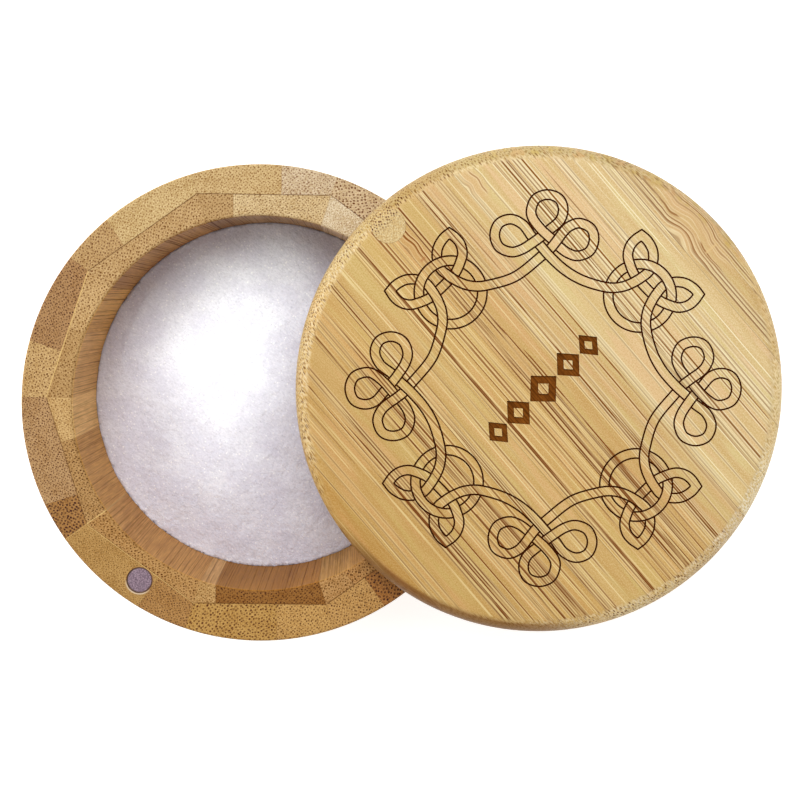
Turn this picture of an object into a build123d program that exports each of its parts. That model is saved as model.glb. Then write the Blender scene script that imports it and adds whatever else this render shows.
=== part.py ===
from build123d import *
import math
import os

# Round bamboo salt box. A deep bowl is turned from a ring of ten mitred
# staves, each two plies thick, closed below by a glued-in base disc. A lid
# of edge-glued strips swivels sideways on one upright dowel and is held shut
# by a pair of disc magnets.
#
# Frame: origin at the centre of the underside, +Z up. The swivel dowel is
# on +Y and the magnet is near -Y. Millimetres.

os.makedirs("parts", exist_ok=True)

# ---- driving dimensions ----
OUTER_R = 44.45            # body and lid, 3.5 in across
TOTAL_H = 63.5             # closed height, 2.5 in
LID_T = 10.0
LID_GAP = 0.15             # air between rim and lid, so the lid slides
BODY_H = TOTAL_H - LID_T - LID_GAP

MOUTH_R = 35.5             # edge of the flat rim
MOUTH_EASE = 0.6           # rounding of the bowl's mouth
WALL_TOP_R = MOUTH_R - MOUTH_EASE
WALL_FLOOR_R = 34.05       # the wall narrows a little towards the floor
FLOOR_Z = 8.0
BODY_TOP_EASE = 0.45
BODY_FOOT_EASE = 1.6

GLUE_CX, GLUE_CY = -0.18, 0.76   # the glued-up ten-sided blank sits off centre
GLUE_VERTEX_R = 40.08            # corners of the ply glue line
GLUE_START = 35.2                # angle of the first corner
STAVES = 10
STEP = 360.0 / STAVES

BASE_R = 36.0
BASE_FIT = 0.05            # glue film round the base disc
BASE_CHAMFER = 0.4

DOWEL_R = 3.1
DOWEL_RUN = 0.05           # radial running clearance in the body
PIVOT_R = 40.5             # dowel axis from the body axis
DOWEL_IN_BODY = 14.0
BORE_EXTRA = 1.0           # air below the dowel's end
DOWEL_END_CHAMFER = 0.5

MAGNET_R = 2.38            # 3/16 in disc
MAGNET_T = 3.2
MAGNET_RECESS = 0.2        # body magnet below the rim
LID_MAGNET_RECESS = 0.1
MAGNET_FIT = 0.07          # glue film round each magnet
MAGNET_EDGE = 0.2
MAGNET_X, MAGNET_Y = 1.0, -40.0

LID_TOP_ROUND = 3.0
LID_UNDER_EASE = 0.8
STRIP_W = 7.62             # lid strips, 0.3 in wide
STRIP_FIRST = -39.9        # first glue line from the lid's centre
STRIP_LINES = 11
GRAIN_TURN = -2.0          # strips against the dowel-to-centre line
REST_OPEN = 78.7           # the lid is stored swung open by this angle

SALT_TOP_Z = 25.0
SALT_FIT = 0.05


def at(obj, x=0.0, y=0.0, z=0.0):
    return Pos(x, y, z) * obj


def disc(r, z0, z1, x=0.0, y=0.0):
    return at(Cylinder(r, z1 - z0, align=(Align.CENTER, Align.CENTER, Align.MIN)), x, y, z0)


def one(shape):
    """The only solid in a result."""
    solids = shape.solids()
    if len(solids) != 1:
        raise ValueError(f"expected 1 solid, got {len(solids)}")
    return solids[0]


def arc_mid(cx, cy, r, deg):
    return (cx + r * math.cos(math.radians(deg)), cy + r * math.sin(math.radians(deg)))


def turned_body():
    """The whole bowl as it leaves the lathe, with the rebate for the base."""
    f, t, m = BODY_FOOT_EASE, BODY_TOP_EASE, MOUTH_EASE
    h, ro = BODY_H, OUTER_R
    rb = BASE_R + BASE_FIT
    with BuildPart() as p:
        with BuildSketch(Plane.XZ):
            with BuildLine():
                Line((rb, 0), (ro - f, 0))
                ThreePointArc((ro - f, 0), arc_mid(ro - f, f, f, -45), (ro, f))
                Line((ro, f), (ro, h - t))
                ThreePointArc((ro, h - t), arc_mid(ro - t, h - t, t, 45), (ro - t, h))
                Line((ro - t, h), (MOUTH_R, h))
                ThreePointArc((MOUTH_R, h), arc_mid(MOUTH_R, h - m, m, 135), (WALL_TOP_R, h - m))
                Line((WALL_TOP_R, h - m), (WALL_FLOOR_R, FLOOR_Z))
                Line((WALL_FLOOR_R, FLOOR_Z), (rb, FLOOR_Z))
                Line((rb, FLOOR_Z), (rb, 0))
            make_face()
        revolve(axis=Axis.Z)
    return p.part


def turned_lid():
    """The lid's round blank, closed and centred on the body's axis."""
    z0, z1 = TOTAL_H - LID_T, TOTAL_H
    r, a, b = OUTER_R, LID_TOP_ROUND, LID_UNDER_EASE
    with BuildPart() as p:
        with BuildSketch(Plane.XZ):
            with BuildLine():
                Line((0, z0), (r - b, z0))
                ThreePointArc((r - b, z0), arc_mid(r - b, z0 + b, b, -45), (r, z0 + b))
                Line((r, z0 + b), (r, z1 - a))
                ThreePointArc((r, z1 - a), arc_mid(r - a, z1 - a, a, 45), (r - a, z1))
                Line((r - a, z1), (0, z1))
                Line((0, z1), (0, z0))
            make_face()
        revolve(axis=Axis.Z)
    return p.part


def prism(points, z0, z1):
    """An upright prism over a closed run of corners."""
    face = make_face(Polyline(*[(x, y) for x, y in points], close=True).edges())
    return at(extrude(face, amount=z1 - z0, dir=(0, 0, 1)), 0, 0, z0)


def corner(k, r):
    a = math.radians(GLUE_START + STEP * k)
    return (GLUE_CX + r * math.cos(a), GLUE_CY + r * math.sin(a))


def swing(obj, degrees):
    """Turns something of the closed lid about the dowel's axis."""
    return Pos(0, PIVOT_R, 0) * Rot(0, 0, degrees) * Pos(0, -PIVOT_R, 0) * obj


nodes = {}

# ---- body: staves ----
bowl = turned_body()
bore = disc(DOWEL_R + DOWEL_RUN, BODY_H - DOWEL_IN_BODY - BORE_EXTRA, BODY_H + 5, 0, PIVOT_R)
pocket = disc(MAGNET_R + MAGNET_FIT, BODY_H - MAGNET_RECESS - MAGNET_T, BODY_H + 5, MAGNET_X, MAGNET_Y)
bowl = bowl - bore - pocket

for k in range(STAVES):
    far = 70.0
    inside = prism([(GLUE_CX, GLUE_CY), corner(k, GLUE_VERTEX_R), corner(k + 1, GLUE_VERTEX_R)], -5, BODY_H + 5)
    outside = prism(
        [corner(k, GLUE_VERTEX_R), corner(k, far), corner(k + 1, far), corner(k + 1, GLUE_VERTEX_R)],
        -5,
        BODY_H + 5,
    )
    nodes[f"outer_stave_{k + 1:02d}"] = one(bowl & outside)
    nodes[f"inner_stave_{k + 1:02d}"] = one(bowl & inside)

# ---- body: base disc, let in flush from below ----
base = disc(BASE_R, 0, FLOOR_Z)
base = chamfer(base.edges().filter_by(GeomType.CIRCLE).group_by(Axis.Z)[0], BASE_CHAMFER)
nodes["base_disc"] = one(base)

# ---- body: magnet ----
def magnet(x, y, z0):
    m = disc(MAGNET_R, z0, z0 + MAGNET_T, x, y)
    return one(chamfer(m.edges().filter_by(GeomType.CIRCLE), MAGNET_EDGE))


nodes["body_magnet"] = magnet(MAGNET_X, MAGNET_Y, BODY_H - MAGNET_RECESS - MAGNET_T)

# ---- contents ----
salt_r = WALL_FLOOR_R - SALT_FIT
slope = (WALL_TOP_R - WALL_FLOOR_R) / (BODY_H - MOUTH_EASE - FLOOR_Z)
salt_top_r = WALL_FLOOR_R + slope * (SALT_TOP_Z - FLOOR_Z) - SALT_FIT
salt = at(
    Cone(salt_r, salt_top_r, SALT_TOP_Z - FLOOR_Z, align=(Align.CENTER, Align.CENTER, Align.MIN)),
    0,
    0,
    FLOOR_Z,
)
nodes["salt_fill"] = one(salt)

# ---- lid: strips ----
lid = turned_lid()
lid_z0 = TOTAL_H - LID_T
lid = lid - disc(DOWEL_R, lid_z0 - 5, TOTAL_H + 5, 0, PIVOT_R)
lid = lid - disc(
    MAGNET_R + MAGNET_FIT, lid_z0 - 5, lid_z0 + LID_MAGNET_RECESS + MAGNET_T, MAGNET_X, MAGNET_Y
)
lines = [STRIP_FIRST + STRIP_W * k for k in range(STRIP_LINES)]
edges = [-60.0] + lines + [60.0]
for k in range(len(edges) - 1):
    lo, hi = edges[k], edges[k + 1]
    slab = at(
        Box(hi - lo, 140, 40, align=(Align.MIN, Align.CENTER, Align.MIN)),
        lo,
        0,
        lid_z0 - 10,
    )
    strip = lid & (Rot(0, 0, GRAIN_TURN) * slab)
    nodes[f"lid_strip_{k + 1:02d}"] = one(swing(strip, REST_OPEN))

# ---- lid: dowel, glued in the lid and turning in the body ----
# Its top is cut flush with the lid, so it follows the rounded edge too.
dowel = disc(DOWEL_R, BODY_H - DOWEL_IN_BODY, TOTAL_H, 0, PIVOT_R)
dowel = chamfer(dowel.edges().filter_by(GeomType.CIRCLE).group_by(Axis.Z)[0], DOWEL_END_CHAMFER)
envelope = disc(OUTER_R, 0, TOTAL_H)
envelope = fillet(envelope.edges().filter_by(GeomType.CIRCLE).group_by(Axis.Z)[-1], LID_TOP_ROUND)
nodes["pivot_dowel"] = one(swing(dowel & envelope, REST_OPEN))

# ---- lid: magnet ----
nodes["lid_magnet"] = one(swing(magnet(MAGNET_X, MAGNET_Y, lid_z0 + LID_MAGNET_RECESS), REST_OPEN))

for name, solid in nodes.items():
    export_step(solid, f"parts/{name}.step")

print(len(nodes), "nodes")
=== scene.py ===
import math

import bmesh
import bpy
import numpy as np
from mathutils import Matrix, Vector, geometry, noise


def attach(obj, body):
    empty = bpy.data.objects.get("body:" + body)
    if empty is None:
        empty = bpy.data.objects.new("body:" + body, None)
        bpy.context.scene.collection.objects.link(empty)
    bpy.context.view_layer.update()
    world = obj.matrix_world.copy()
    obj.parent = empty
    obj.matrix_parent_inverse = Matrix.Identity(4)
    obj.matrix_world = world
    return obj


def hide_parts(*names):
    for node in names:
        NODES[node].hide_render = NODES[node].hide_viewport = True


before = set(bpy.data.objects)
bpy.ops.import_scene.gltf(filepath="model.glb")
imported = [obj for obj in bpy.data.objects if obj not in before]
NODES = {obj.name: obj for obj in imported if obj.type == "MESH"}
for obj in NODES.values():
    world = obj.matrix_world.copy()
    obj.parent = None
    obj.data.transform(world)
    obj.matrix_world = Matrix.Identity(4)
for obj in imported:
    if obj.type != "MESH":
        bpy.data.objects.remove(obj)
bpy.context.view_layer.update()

scene = bpy.context.scene
MM = 0.001

# ---------------------------------------------------------------- sizes, mm
OUTER_R = 44.45
BODY_H = 53.35
TOTAL_H = 63.5
LID_T = 10.0
TOP_ROUND = 3.0
MOUTH_R, MOUTH_EASE = 35.5, 0.6
WALL_TOP_R, WALL_FLOOR_R, FLOOR_Z, SALT_Z = 34.9, 34.05, 8.0, 25.0
GLUE_C = (-0.18, 0.76)
GLUE_VERTEX_R = 40.08
GLUE_START = 35.2
PIVOT = (0.0, 40.5)
DOWEL_R = 3.1
MAGNET_AT = (1.0, -40.0)
MAGNET_R = 2.38
REST_OPEN = 78.7
GRAIN_TURN = -2.0
STRIP_W, STRIP_FIRST, STRIP_LINES = 7.62, -39.9, 11


def swung(x, y, deg=REST_OPEN):
    a = math.radians(deg)
    x, y = x - PIVOT[0], y - PIVOT[1]
    return (PIVOT[0] + x * math.cos(a) - y * math.sin(a), PIVOT[1] + x * math.sin(a) + y * math.cos(a))


LID_C = swung(0.0, 0.0)
LID_MAGNET_AT = swung(*MAGNET_AT)
ACROSS = math.radians(REST_OPEN + GRAIN_TURN)          # across the lid's strips
E_U = (math.cos(ACROSS), math.sin(ACROSS))
E_V = (-math.sin(ACROSS), math.cos(ACROSS))            # along the grain, to the upper left
RING_C = (39.96, 33.2)
RING_TURN = 35.4                                       # the ornament's own x axis

# ---------------------------------------------------------------- camera
cam_data = bpy.data.cameras.new("camera")
cam_data.sensor_width = 36.0
cam_data.lens = 96.5
cam_data.clip_start, cam_data.clip_end = 0.02, 20.0
cam = bpy.data.objects.new("camera", cam_data)
scene.collection.objects.link(cam)
turn = (
    Matrix.Rotation(math.radians(36.001), 4, "Z")
    @ Matrix.Rotation(math.radians(-0.543), 4, "Y")
    @ Matrix.Rotation(math.radians(-3.338), 4, "X")
)
cam.matrix_world = Matrix.Translation((3.85 * MM, 32.43 * MM, 451.64 * MM)) @ turn
scene.camera = cam
scene.view_settings.view_transform = "Standard"
scene.view_settings.look = "None"


# ---------------------------------------------------------------- shader helper
def lin(c):
    c = c / 255.0
    return c / 12.92 if c <= 0.04045 else ((c + 0.055) / 1.055) ** 2.4


def rgb(r, g, b):
    return (lin(r), lin(g), lin(b), 1.0)


LIGHT, SHEEN = 1.35, 0.026           # how bright the studio makes a white surface, and its gloss


def wood(r, g, b, sheen=SHEEN):
    """The surface colour that looks like r, g, b in this studio's light."""
    return tuple(max(0.003, (lin(c) - sheen) / LIGHT) for c in (r, g, b)) + (1.0,)


class Tree:
    """Short forms for building a material's nodes."""

    def __init__(self, name):
        self.mat = bpy.data.materials.new(name)
        self.mat.use_nodes = True
        self.t = self.mat.node_tree
        self.t.nodes.clear()

    def put(self, socket, v):
        if isinstance(v, bpy.types.NodeSocket):
            self.t.links.new(v, socket)
        elif v is not None:
            socket.default_value = v

    def node(self, kind, ins=None, **props):
        n = self.t.nodes.new(kind)
        for k, v in props.items():
            setattr(n, k, v)
        for k, v in (ins or {}).items():
            self.put(n.inputs[k], v)
        return n

    def m(self, op, a, b=None, c=None, clamp=False):
        n = self.t.nodes.new("ShaderNodeMath")
        n.operation = op
        n.use_clamp = clamp
        for i, v in enumerate((a, b, c)):
            if v is not None:
                self.put(n.inputs[i], v)
        return n.outputs[0]

    def v(self, op, a, b=None, out=0):
        n = self.t.nodes.new("ShaderNodeVectorMath")
        n.operation = op
        self.put(n.inputs[0], a)
        if b is not None:
            self.put(n.inputs[1], b)
        return n.outputs[out]

    def scale(self, a, k):
        n = self.t.nodes.new("ShaderNodeVectorMath")
        n.operation = "SCALE"
        self.put(n.inputs[0], a)
        self.put(n.inputs["Scale"], k)
        return n.outputs[0]

    def dot(self, a, b):
        return self.v("DOT_PRODUCT", a, b, out="Value")

    def xyz(self, x=0.0, y=0.0, z=0.0):
        n = self.t.nodes.new("ShaderNodeCombineXYZ")
        for i, v in enumerate((x, y, z)):
            self.put(n.inputs[i], v)
        return n.outputs[0]

    def step(self, v, lo, hi, a=0.0, b=1.0, smooth=True):
        """a below lo and b above hi, smooth between."""
        n = self.t.nodes.new("ShaderNodeMapRange")
        n.interpolation_type = "SMOOTHSTEP" if smooth else "LINEAR"
        n.clamp = True
        for i, x in enumerate((v, lo, hi, a, b)):
            self.put(n.inputs[i], x)
        return n.outputs[0]

    def mix(self, f, a, b, blend="MIX"):
        n = self.t.nodes.new("ShaderNodeMix")
        n.data_type = "RGBA"
        n.blend_type = blend
        n.clamp_factor = True
        self.put(n.inputs[0], f)
        self.put(n.inputs[6], a)
        self.put(n.inputs[7], b)
        return n.outputs[2]

    def noise(self, vec, scale=1.0, detail=2.0, rough=0.5, dims="3D", out="Fac"):
        n = self.t.nodes.new("ShaderNodeTexNoise")
        n.noise_dimensions = dims
        self.put(n.inputs["Vector"], vec)
        self.put(n.inputs["Scale"], scale)
        self.put(n.inputs["Detail"], detail)
        self.put(n.inputs["Roughness"], rough)
        return n.outputs[out]

    def voronoi(self, vec, scale=1.0, rand=1.0, dims="2D"):
        n = self.t.nodes.new("ShaderNodeTexVoronoi")
        n.voronoi_dimensions = dims
        self.put(n.inputs["Vector"], vec)
        self.put(n.inputs["Scale"], scale)
        self.put(n.inputs["Randomness"], rand)
        return n

    def place(self):
        """Position in the object's own frame at rest, in mm."""
        n = self.t.nodes.new("ShaderNodeTexCoord")
        return self.scale(n.outputs["Object"], 1000.0)

    def up(self):
        """How far the surface looks up or down, 0 to 1."""
        n = self.t.nodes.new("ShaderNodeNewGeometry")
        s = self.t.nodes.new("ShaderNodeSeparateXYZ")
        self.t.links.new(n.outputs["Normal"], s.inputs[0])
        return self.m("ABSOLUTE", s.outputs[2])

    def bump(self, height, depth_mm, strength=1.0, normal=None):
        n = self.t.nodes.new("ShaderNodeBump")
        n.inputs["Strength"].default_value = strength
        n.inputs["Distance"].default_value = depth_mm * MM
        self.put(n.inputs["Height"], height)
        if normal is not None:
            self.put(n.inputs["Normal"], normal)
        return n.outputs[0]

    def finish(self, color, rough, normal=None, metallic=None, specular=None, **sockets):
        p = self.t.nodes.new("ShaderNodeBsdfPrincipled")
        self.put(p.inputs["Base Color"], color)
        self.put(p.inputs["Roughness"], rough)
        if normal is not None:
            self.put(p.inputs["Normal"], normal)
        if metallic is not None:
            p.inputs["Metallic"].default_value = metallic
        if specular is not None:
            p.inputs["Specular IOR Level"].default_value = specular
        for k, v in sockets.items():
            p.inputs[k.replace("_", " ")].default_value = v
        o = self.t.nodes.new("ShaderNodeOutputMaterial")
        self.t.links.new(p.outputs[0], o.inputs[0])
        return self.mat


# ---------------------------------------------------------------- bamboo
def piecewise(t, a, cuts, values):
    """A number that changes at each cut along a. One value alone stays a number."""
    if len(values) == 1 or max(values) - min(values) < 1e-9:
        return values[0]
    out = values[0]
    for cut, before, after in zip(cuts, values, values[1:]):
        s = t.m("GREATER_THAN", a, cut)
        out = t.m("MULTIPLY_ADD", s, after - before, out)
    return out


def piecewise_colour(t, a, cuts, values):
    out = values[0]
    for cut, after in zip(cuts, values[1:]):
        out = t.mix(t.m("GREATER_THAN", a, cut), out, after)
    return out


def stave_bamboo(name, k, slats, cuts=(), glue=None, seed=0.0, gloss=0.2):
    """One stave. Grain upright: dots of fibre bundles in the end grain on the rim,
    thin fibres down the sides. slats run from -a to +a across the stave, each with
    its pale colour, dot colour, dot spacing and size, how strong the dots are, and
    how the turned side differs in colour from the end grain. On the inner staves that
    side colour also carries painted shade and painted light on the bowl's wall."""
    t = Tree(name)
    p = t.place()
    sheen = 0.13 * gloss
    mid = math.radians(GLUE_START + 36 * (k - 1) + 18)
    rel = t.v("SUBTRACT", p, (GLUE_C[0], GLUE_C[1], 0.0))
    a = t.dot(rel, (-math.sin(mid), math.cos(mid), 0.0))
    b = t.dot(rel, (math.cos(mid), math.sin(mid), 0.0))
    sep = t.node("ShaderNodeSeparateXYZ", {0: p})
    g = sep.outputs[2]
    off = piecewise(t, a, cuts, [seed * 17.3 + 31.7 * i for i in range(len(slats))])
    # slow wander of the fibres along the grain and across it
    w1 = t.noise(t.xyz(t.m("MULTIPLY", a, 0.11), t.m("MULTIPLY", b, 0.11), t.m("MULTIPLY_ADD", g, 0.008, seed)), 1.0, 1.0, 0.5, out="Color")
    w = t.scale(t.v("SUBTRACT", w1, (0.5, 0.5, 0.5)), 1.6)
    ws = t.node("ShaderNodeSeparateXYZ", {0: w})
    aw = t.m("ADD", t.m("ADD", a, off), t.m("MULTIPLY_ADD", g, 0.003, ws.outputs[0]))
    bw = t.m("ADD", b, t.m("MULTIPLY_ADD", g, -0.01, ws.outputs[1]))
    space = piecewise(t, a, cuts, [s["space"] for s in slats])
    # cells set on the diagonal, as bundles sit in the cane
    qa = t.m("DIVIDE", t.m("ADD", aw, bw), t.m("MULTIPLY", space, 1.32))
    qb = t.m("DIVIDE", t.m("SUBTRACT", aw, bw), t.m("MULTIPLY", space, 1.52))
    cell = t.voronoi(t.xyz(qa, qb, 0.0), 1.0, 0.6)
    far = cell.outputs["Distance"]
    cs = t.node("ShaderNodeSeparateColor", {0: cell.outputs["Color"]})
    size = piecewise(t, a, cuts, [s["size"] for s in slats])
    grow = t.m("MULTIPLY_ADD", cs.outputs[0], 0.10, t.m("ADD", size, -0.05))
    dots = t.step(far, t.m("ADD", grow, 0.055), t.m("ADD", grow, -0.055))
    halo = t.m("MULTIPLY", t.step(far, t.m("ADD", grow, 0.05), t.m("ADD", grow, 0.13)), t.step(far, t.m("ADD", grow, 0.34), t.m("ADD", grow, 0.2)))
    halo = t.m("MULTIPLY", halo, t.step(cs.outputs[2], 0.35, 0.8, 0.1, 0.75))
    some = t.m("MULTIPLY_ADD", cs.outputs[1], 0.5, 0.5)
    side = t.step(t.up(), 0.35, 0.8)              # 1 on the end grain, 0 on the sides
    strength = piecewise(t, a, cuts, [s["k"] for s in slats])
    # down the sides the bundles show as thin straight threads that fade in and out
    patchy = t.noise(t.xyz(t.m("MULTIPLY", aw, 0.33), t.m("MULTIPLY", bw, 0.1), t.m("MULTIPLY", g, 0.01)), 1.0, 2.0, 0.6)
    along = t.noise(t.xyz(t.m("MULTIPLY", aw, 2.4), t.m("MULTIPLY", bw, 0.6), t.m("MULTIPLY", g, 0.07)), 1.0, 2.0, 0.6)
    thread = None
    for gap, half, tall, least, most, low in ((0.46, 0.15, 4.0, 0.62, 0.86, 0.22), (1.25, 0.065, 2.0, 0.66, 0.84, 0.45)):
        q = t.xyz(t.m("DIVIDE", aw, gap), t.m("DIVIDE", bw, gap * tall), 0.0)
        cut = t.voronoi(q, 1.0, 1.0)
        tc = t.node("ShaderNodeSeparateColor", {0: cut.outputs["Color"]})
        apart = t.node("ShaderNodeSeparateXYZ", {0: t.v("SUBTRACT", cut.outputs["Position"], q)})
        one = t.step(t.m("ABSOLUTE", apart.outputs[0]), half * 1.5, half * 0.6)
        one = t.m("MULTIPLY", one, t.step(t.m("MULTIPLY_ADD", patchy, 0.7, tc.outputs[0]), least, most))
        one = t.m("MULTIPLY", one, t.m("MULTIPLY_ADD", tc.outputs[1], 0.5, low))
        thread = one if thread is None else t.m("MAXIMUM", thread, one)
    thread = t.m("MULTIPLY", t.m("MULTIPLY", thread, t.step(along, 0.34, 0.58, 0.4, 1.0)), piecewise(t, a, cuts, [s["lines"] for s in slats]))
    dots = t.m("MULTIPLY", t.m("MULTIPLY", dots, some), strength)
    mark = t.m("ADD", t.m("MULTIPLY", dots, side), t.m("MULTIPLY", thread, t.m("SUBTRACT", 1.0, side)))
    # ground between the bundles
    pale = piecewise_colour(t, a, cuts, [wood(*s["pale"], sheen) for s in slats])
    deep = piecewise_colour(t, a, cuts, [wood(*s["deep"], sheen) for s in slats])
    dark = piecewise_colour(t, a, cuts, [wood(*s["dark"], sheen) for s in slats])
    blotch = t.noise(t.xyz(t.m("MULTIPLY", aw, 0.16), t.m("MULTIPLY", bw, 0.3), t.m("MULTIPLY", g, 0.02)), 1.0, 3.0, 0.55)
    ground = t.mix(t.step(blotch, 0.38, 0.66), pale, deep)
    pith = t.noise(t.xyz(t.m("MULTIPLY", aw, 3.7), t.m("MULTIPLY", bw, 3.7), t.m("MULTIPLY", g, 0.11)), 1.0, 2.0, 0.7)
    calm = t.m("MULTIPLY_ADD", side, 0.5, 0.5)
    bright = piecewise_colour(t, a, cuts, [wood(*[min(246, c * f) for c, f in zip(s["pale"], (1.13, 1.17, 1.25))], sheen) for s in slats])
    ground = t.mix(t.m("MULTIPLY", t.step(pith, 0.5, 0.66, 0.0, 0.85), calm), ground, bright)
    ground = t.mix(t.m("MULTIPLY", t.step(pith, 0.48, 0.32, 0.0, 0.6), calm), ground, t.mix(0.6, deep, dark))
    ground = t.mix(t.m("MULTIPLY", t.m("MULTIPLY", halo, side), 0.6), ground, bright)
    fibre = t.noise(t.xyz(t.m("MULTIPLY", aw, 4.2), t.m("MULTIPLY", bw, 4.2), t.m("MULTIPLY", g, 0.06)), 1.0, 3.0, 0.65)
    ground = t.mix(t.m("MULTIPLY", t.step(fibre, 0.45, 0.72), t.m("MULTIPLY_ADD", side, -0.34, 0.5)), ground, t.mix(0.3, deep, dark))
    # the turned side is closer and warmer in colour than the end grain; on the inner staves each stave's factor also
    # carries painted shade (the bowl's upper wall, stave 3) and painted light (the lower walls, staves 5 to 9)
    sides = piecewise_colour(t, a, cuts, [tuple(s["side"]) + (1.0,) for s in slats])
    ground = t.mix(side, t.mix(1.0, ground, sides, "MULTIPLY"), ground)
    shadow = t.mix(1.0, ground, (0.40, 0.35, 0.31, 1.0), "MULTIPLY")
    col = t.mix(mark, ground, t.mix(side, shadow, dark))
    # the joint inside the stave, and the glue films round it
    for at in cuts:
        line = t.step(t.m("ABSOLUTE", t.m("SUBTRACT", a, at)), 0.10, 0.03)
        col = t.mix(t.m("MULTIPLY", line, 0.25), col, dark)
    glue = glue or {}
    ply = GLUE_VERTEX_R * math.cos(math.radians(18))
    half = math.radians(18)
    films = [
        ("ply", t.m("ABSOLUTE", t.m("SUBTRACT", b, ply))),
        ("low", t.m("ADD", t.m("MULTIPLY", b, math.sin(half)), t.m("MULTIPLY", a, math.cos(half)))),
        ("high", t.m("SUBTRACT", t.m("MULTIPLY", b, math.sin(half)), t.m("MULTIPLY", a, math.cos(half)))),
    ]
    for edge, dist in films:
        kind = glue.get(edge, ("dark", 0.8, 0.12) if edge == "ply" else ("dark", 0.16))
        tint = wood(232, 196, 128, sheen) if kind[0] == "pale" else wood(96, 60, 26, sheen)
        wide = kind[2] if len(kind) > 2 else 0.10
        broken = t.noise(t.xyz(t.m("MULTIPLY", a, 0.7), t.m("MULTIPLY", b, 0.7), t.m("MULTIPLY", g, 0.2)), 1.0, 2.0, 0.5)
        film = t.m("MULTIPLY", t.step(dist, wide, wide * 0.35), t.step(broken, 0.3, 0.5, 0.55, 1.0))
        col = t.mix(t.m("MULTIPLY", film, kind[1]), col, tint)
    if name == "bamboo_outer_stave_07":
        # painted highlight: the pocket's edge pale on one side only, as a lit edge looks, broken up by noise
        pin = t.v("MULTIPLY", t.v("SUBTRACT", p, (MAGNET_AT[0], MAGNET_AT[1], 0.0)), (1.0, 1.0, 0.0))
        reach = t.v("LENGTH", pin, out="Value")
        lean = t.m("DIVIDE", t.dot(pin, (math.cos(math.radians(282)), math.sin(math.radians(282)), 0.0)), reach)
        wear_and_glint_noise = t.noise(p, 1.6, 2.0, 0.6)
        near_top = t.step(t.node("ShaderNodeSeparateXYZ", {0: p}).outputs[2], 48.0, 50.0)
        rim = t.m("MULTIPLY", t.step(reach, MAGNET_R + 0.42, MAGNET_R + 0.12), t.step(t.m("MULTIPLY_ADD", wear_and_glint_noise, 0.5, lean), 0.55, 1.0))
        col = t.mix(t.m("MULTIPLY", t.m("MULTIPLY", rim, near_top), 0.85), col, wood(232, 214, 186, sheen))
        fit = t.m("MULTIPLY", t.step(reach, MAGNET_R + 0.2, MAGNET_R + 0.06, 0.0, 0.45), near_top)
        col = t.mix(fit, col, wood(150, 84, 60, sheen))
    rough = t.m("ADD", t.m("MULTIPLY_ADD", pith, 0.14, 0.44), t.m("MULTIPLY", mark, 0.14))
    height = t.m("ADD", t.m("MULTIPLY", mark, -1.0), t.m("MULTIPLY_ADD", pith, 0.5, t.m("MULTIPLY", fibre, 0.45)))
    return t.finish(col, rough, t.bump(height, 0.05, 0.5), specular=gloss)


def slat(pale, deep=None, dark=(112, 68, 30), space=0.66, size=0.25, k=0.8, side=(1.0, 0.97, 0.9), lines=1.0):
    if deep is None:
        deep = tuple(c * f for c, f in zip(pale, (0.93, 0.90, 0.85)))
    return {"pale": pale, "deep": deep, "dark": dark, "space": space, "size": size, "k": k, "side": side, "lines": lines}


GOLDEN = (224, 188, 130)
PINK = (222, 192, 152)
BROWN = (192, 146, 98)

OUTER = {
    1: dict(
        slats=[
            slat((210, 176, 119), dark=(109, 66, 29), space=0.57, size=0.25, k=0.85),
            slat((180, 136, 89), dark=(109, 66, 29), space=0.57, size=0.25, k=0.9),
        ],
        cuts=(3.0,),
    ),
    2: dict(
        slats=[
            slat((200, 170, 132), dark=(147, 102, 72), space=0.45, size=0.25, k=0.74),
            slat((207, 180, 140), dark=(112, 67, 41), space=0.64, size=0.27, k=1.0),
        ],
        cuts=(1.0,),
    ),
    3: dict(
        slats=[
            slat((209, 185, 149), dark=(125, 83, 57), space=0.57, size=0.25, k=0.8),
            slat((204, 173, 121), dark=(129, 84, 41), space=0.53, size=0.25, k=0.82),
        ],
        cuts=(-3.2,),
    ),
    4: dict(
        slats=[
            slat((206, 176, 123), dark=(132, 87, 41), space=0.53, size=0.25, k=0.76),
            slat((190, 154, 104), dark=(108, 66, 31), space=0.58, size=0.25, k=0.96),
        ],
        cuts=(4.2,),
    ),
    5: dict(
        slats=[
            slat((171, 131, 87), dark=(79, 42, 21), space=0.53, size=0.25, k=1.0),
            slat((198, 162, 109), dark=(108, 68, 32), space=0.59, size=0.24, k=1.0),
        ],
        cuts=(3.3,),
    ),
    6: dict(
        slats=[
            slat((182, 144, 99), dark=(91, 53, 27), space=0.51, size=0.26, k=1.0),
            slat((166, 121, 71), dark=(68, 34, 12), space=0.58, size=0.32, k=1.0),
        ],
        cuts=(6.6,),
    ),
    7: dict(
        slats=[
            slat((181, 141, 84), dark=(100, 65, 28), space=0.45, size=0.22, k=0.82),
            slat((173, 129, 77), dark=(82, 48, 18), space=0.51, size=0.24, k=0.94),
        ],
        cuts=(4.4,),
    ),
    8: dict(
        slats=[
            slat((187, 145, 82), dark=(96, 56, 19), space=0.62, size=0.27, k=1.0),
            slat((195, 152, 91), dark=(95, 60, 22), space=0.58, size=0.24, k=0.98),
        ],
        cuts=(3.2,),
    ),
    9: dict(
        slats=[
            slat((192, 148, 89), dark=(91, 57, 21), space=0.57, size=0.24, k=1.0),
            slat((169, 116, 65), dark=(64, 31, 7), space=0.61, size=0.3, k=1.0),
        ],
        cuts=(-3.6,),
    ),
    10: dict(
        slats=[
            slat((210, 176, 119), dark=(109, 66, 29), space=0.57, size=0.25, k=0.85),
            slat((208, 180, 140), dark=(109, 66, 29), space=0.57, size=0.25, k=0.85),
        ],
        cuts=(-4.0,),
    ),
}
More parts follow.
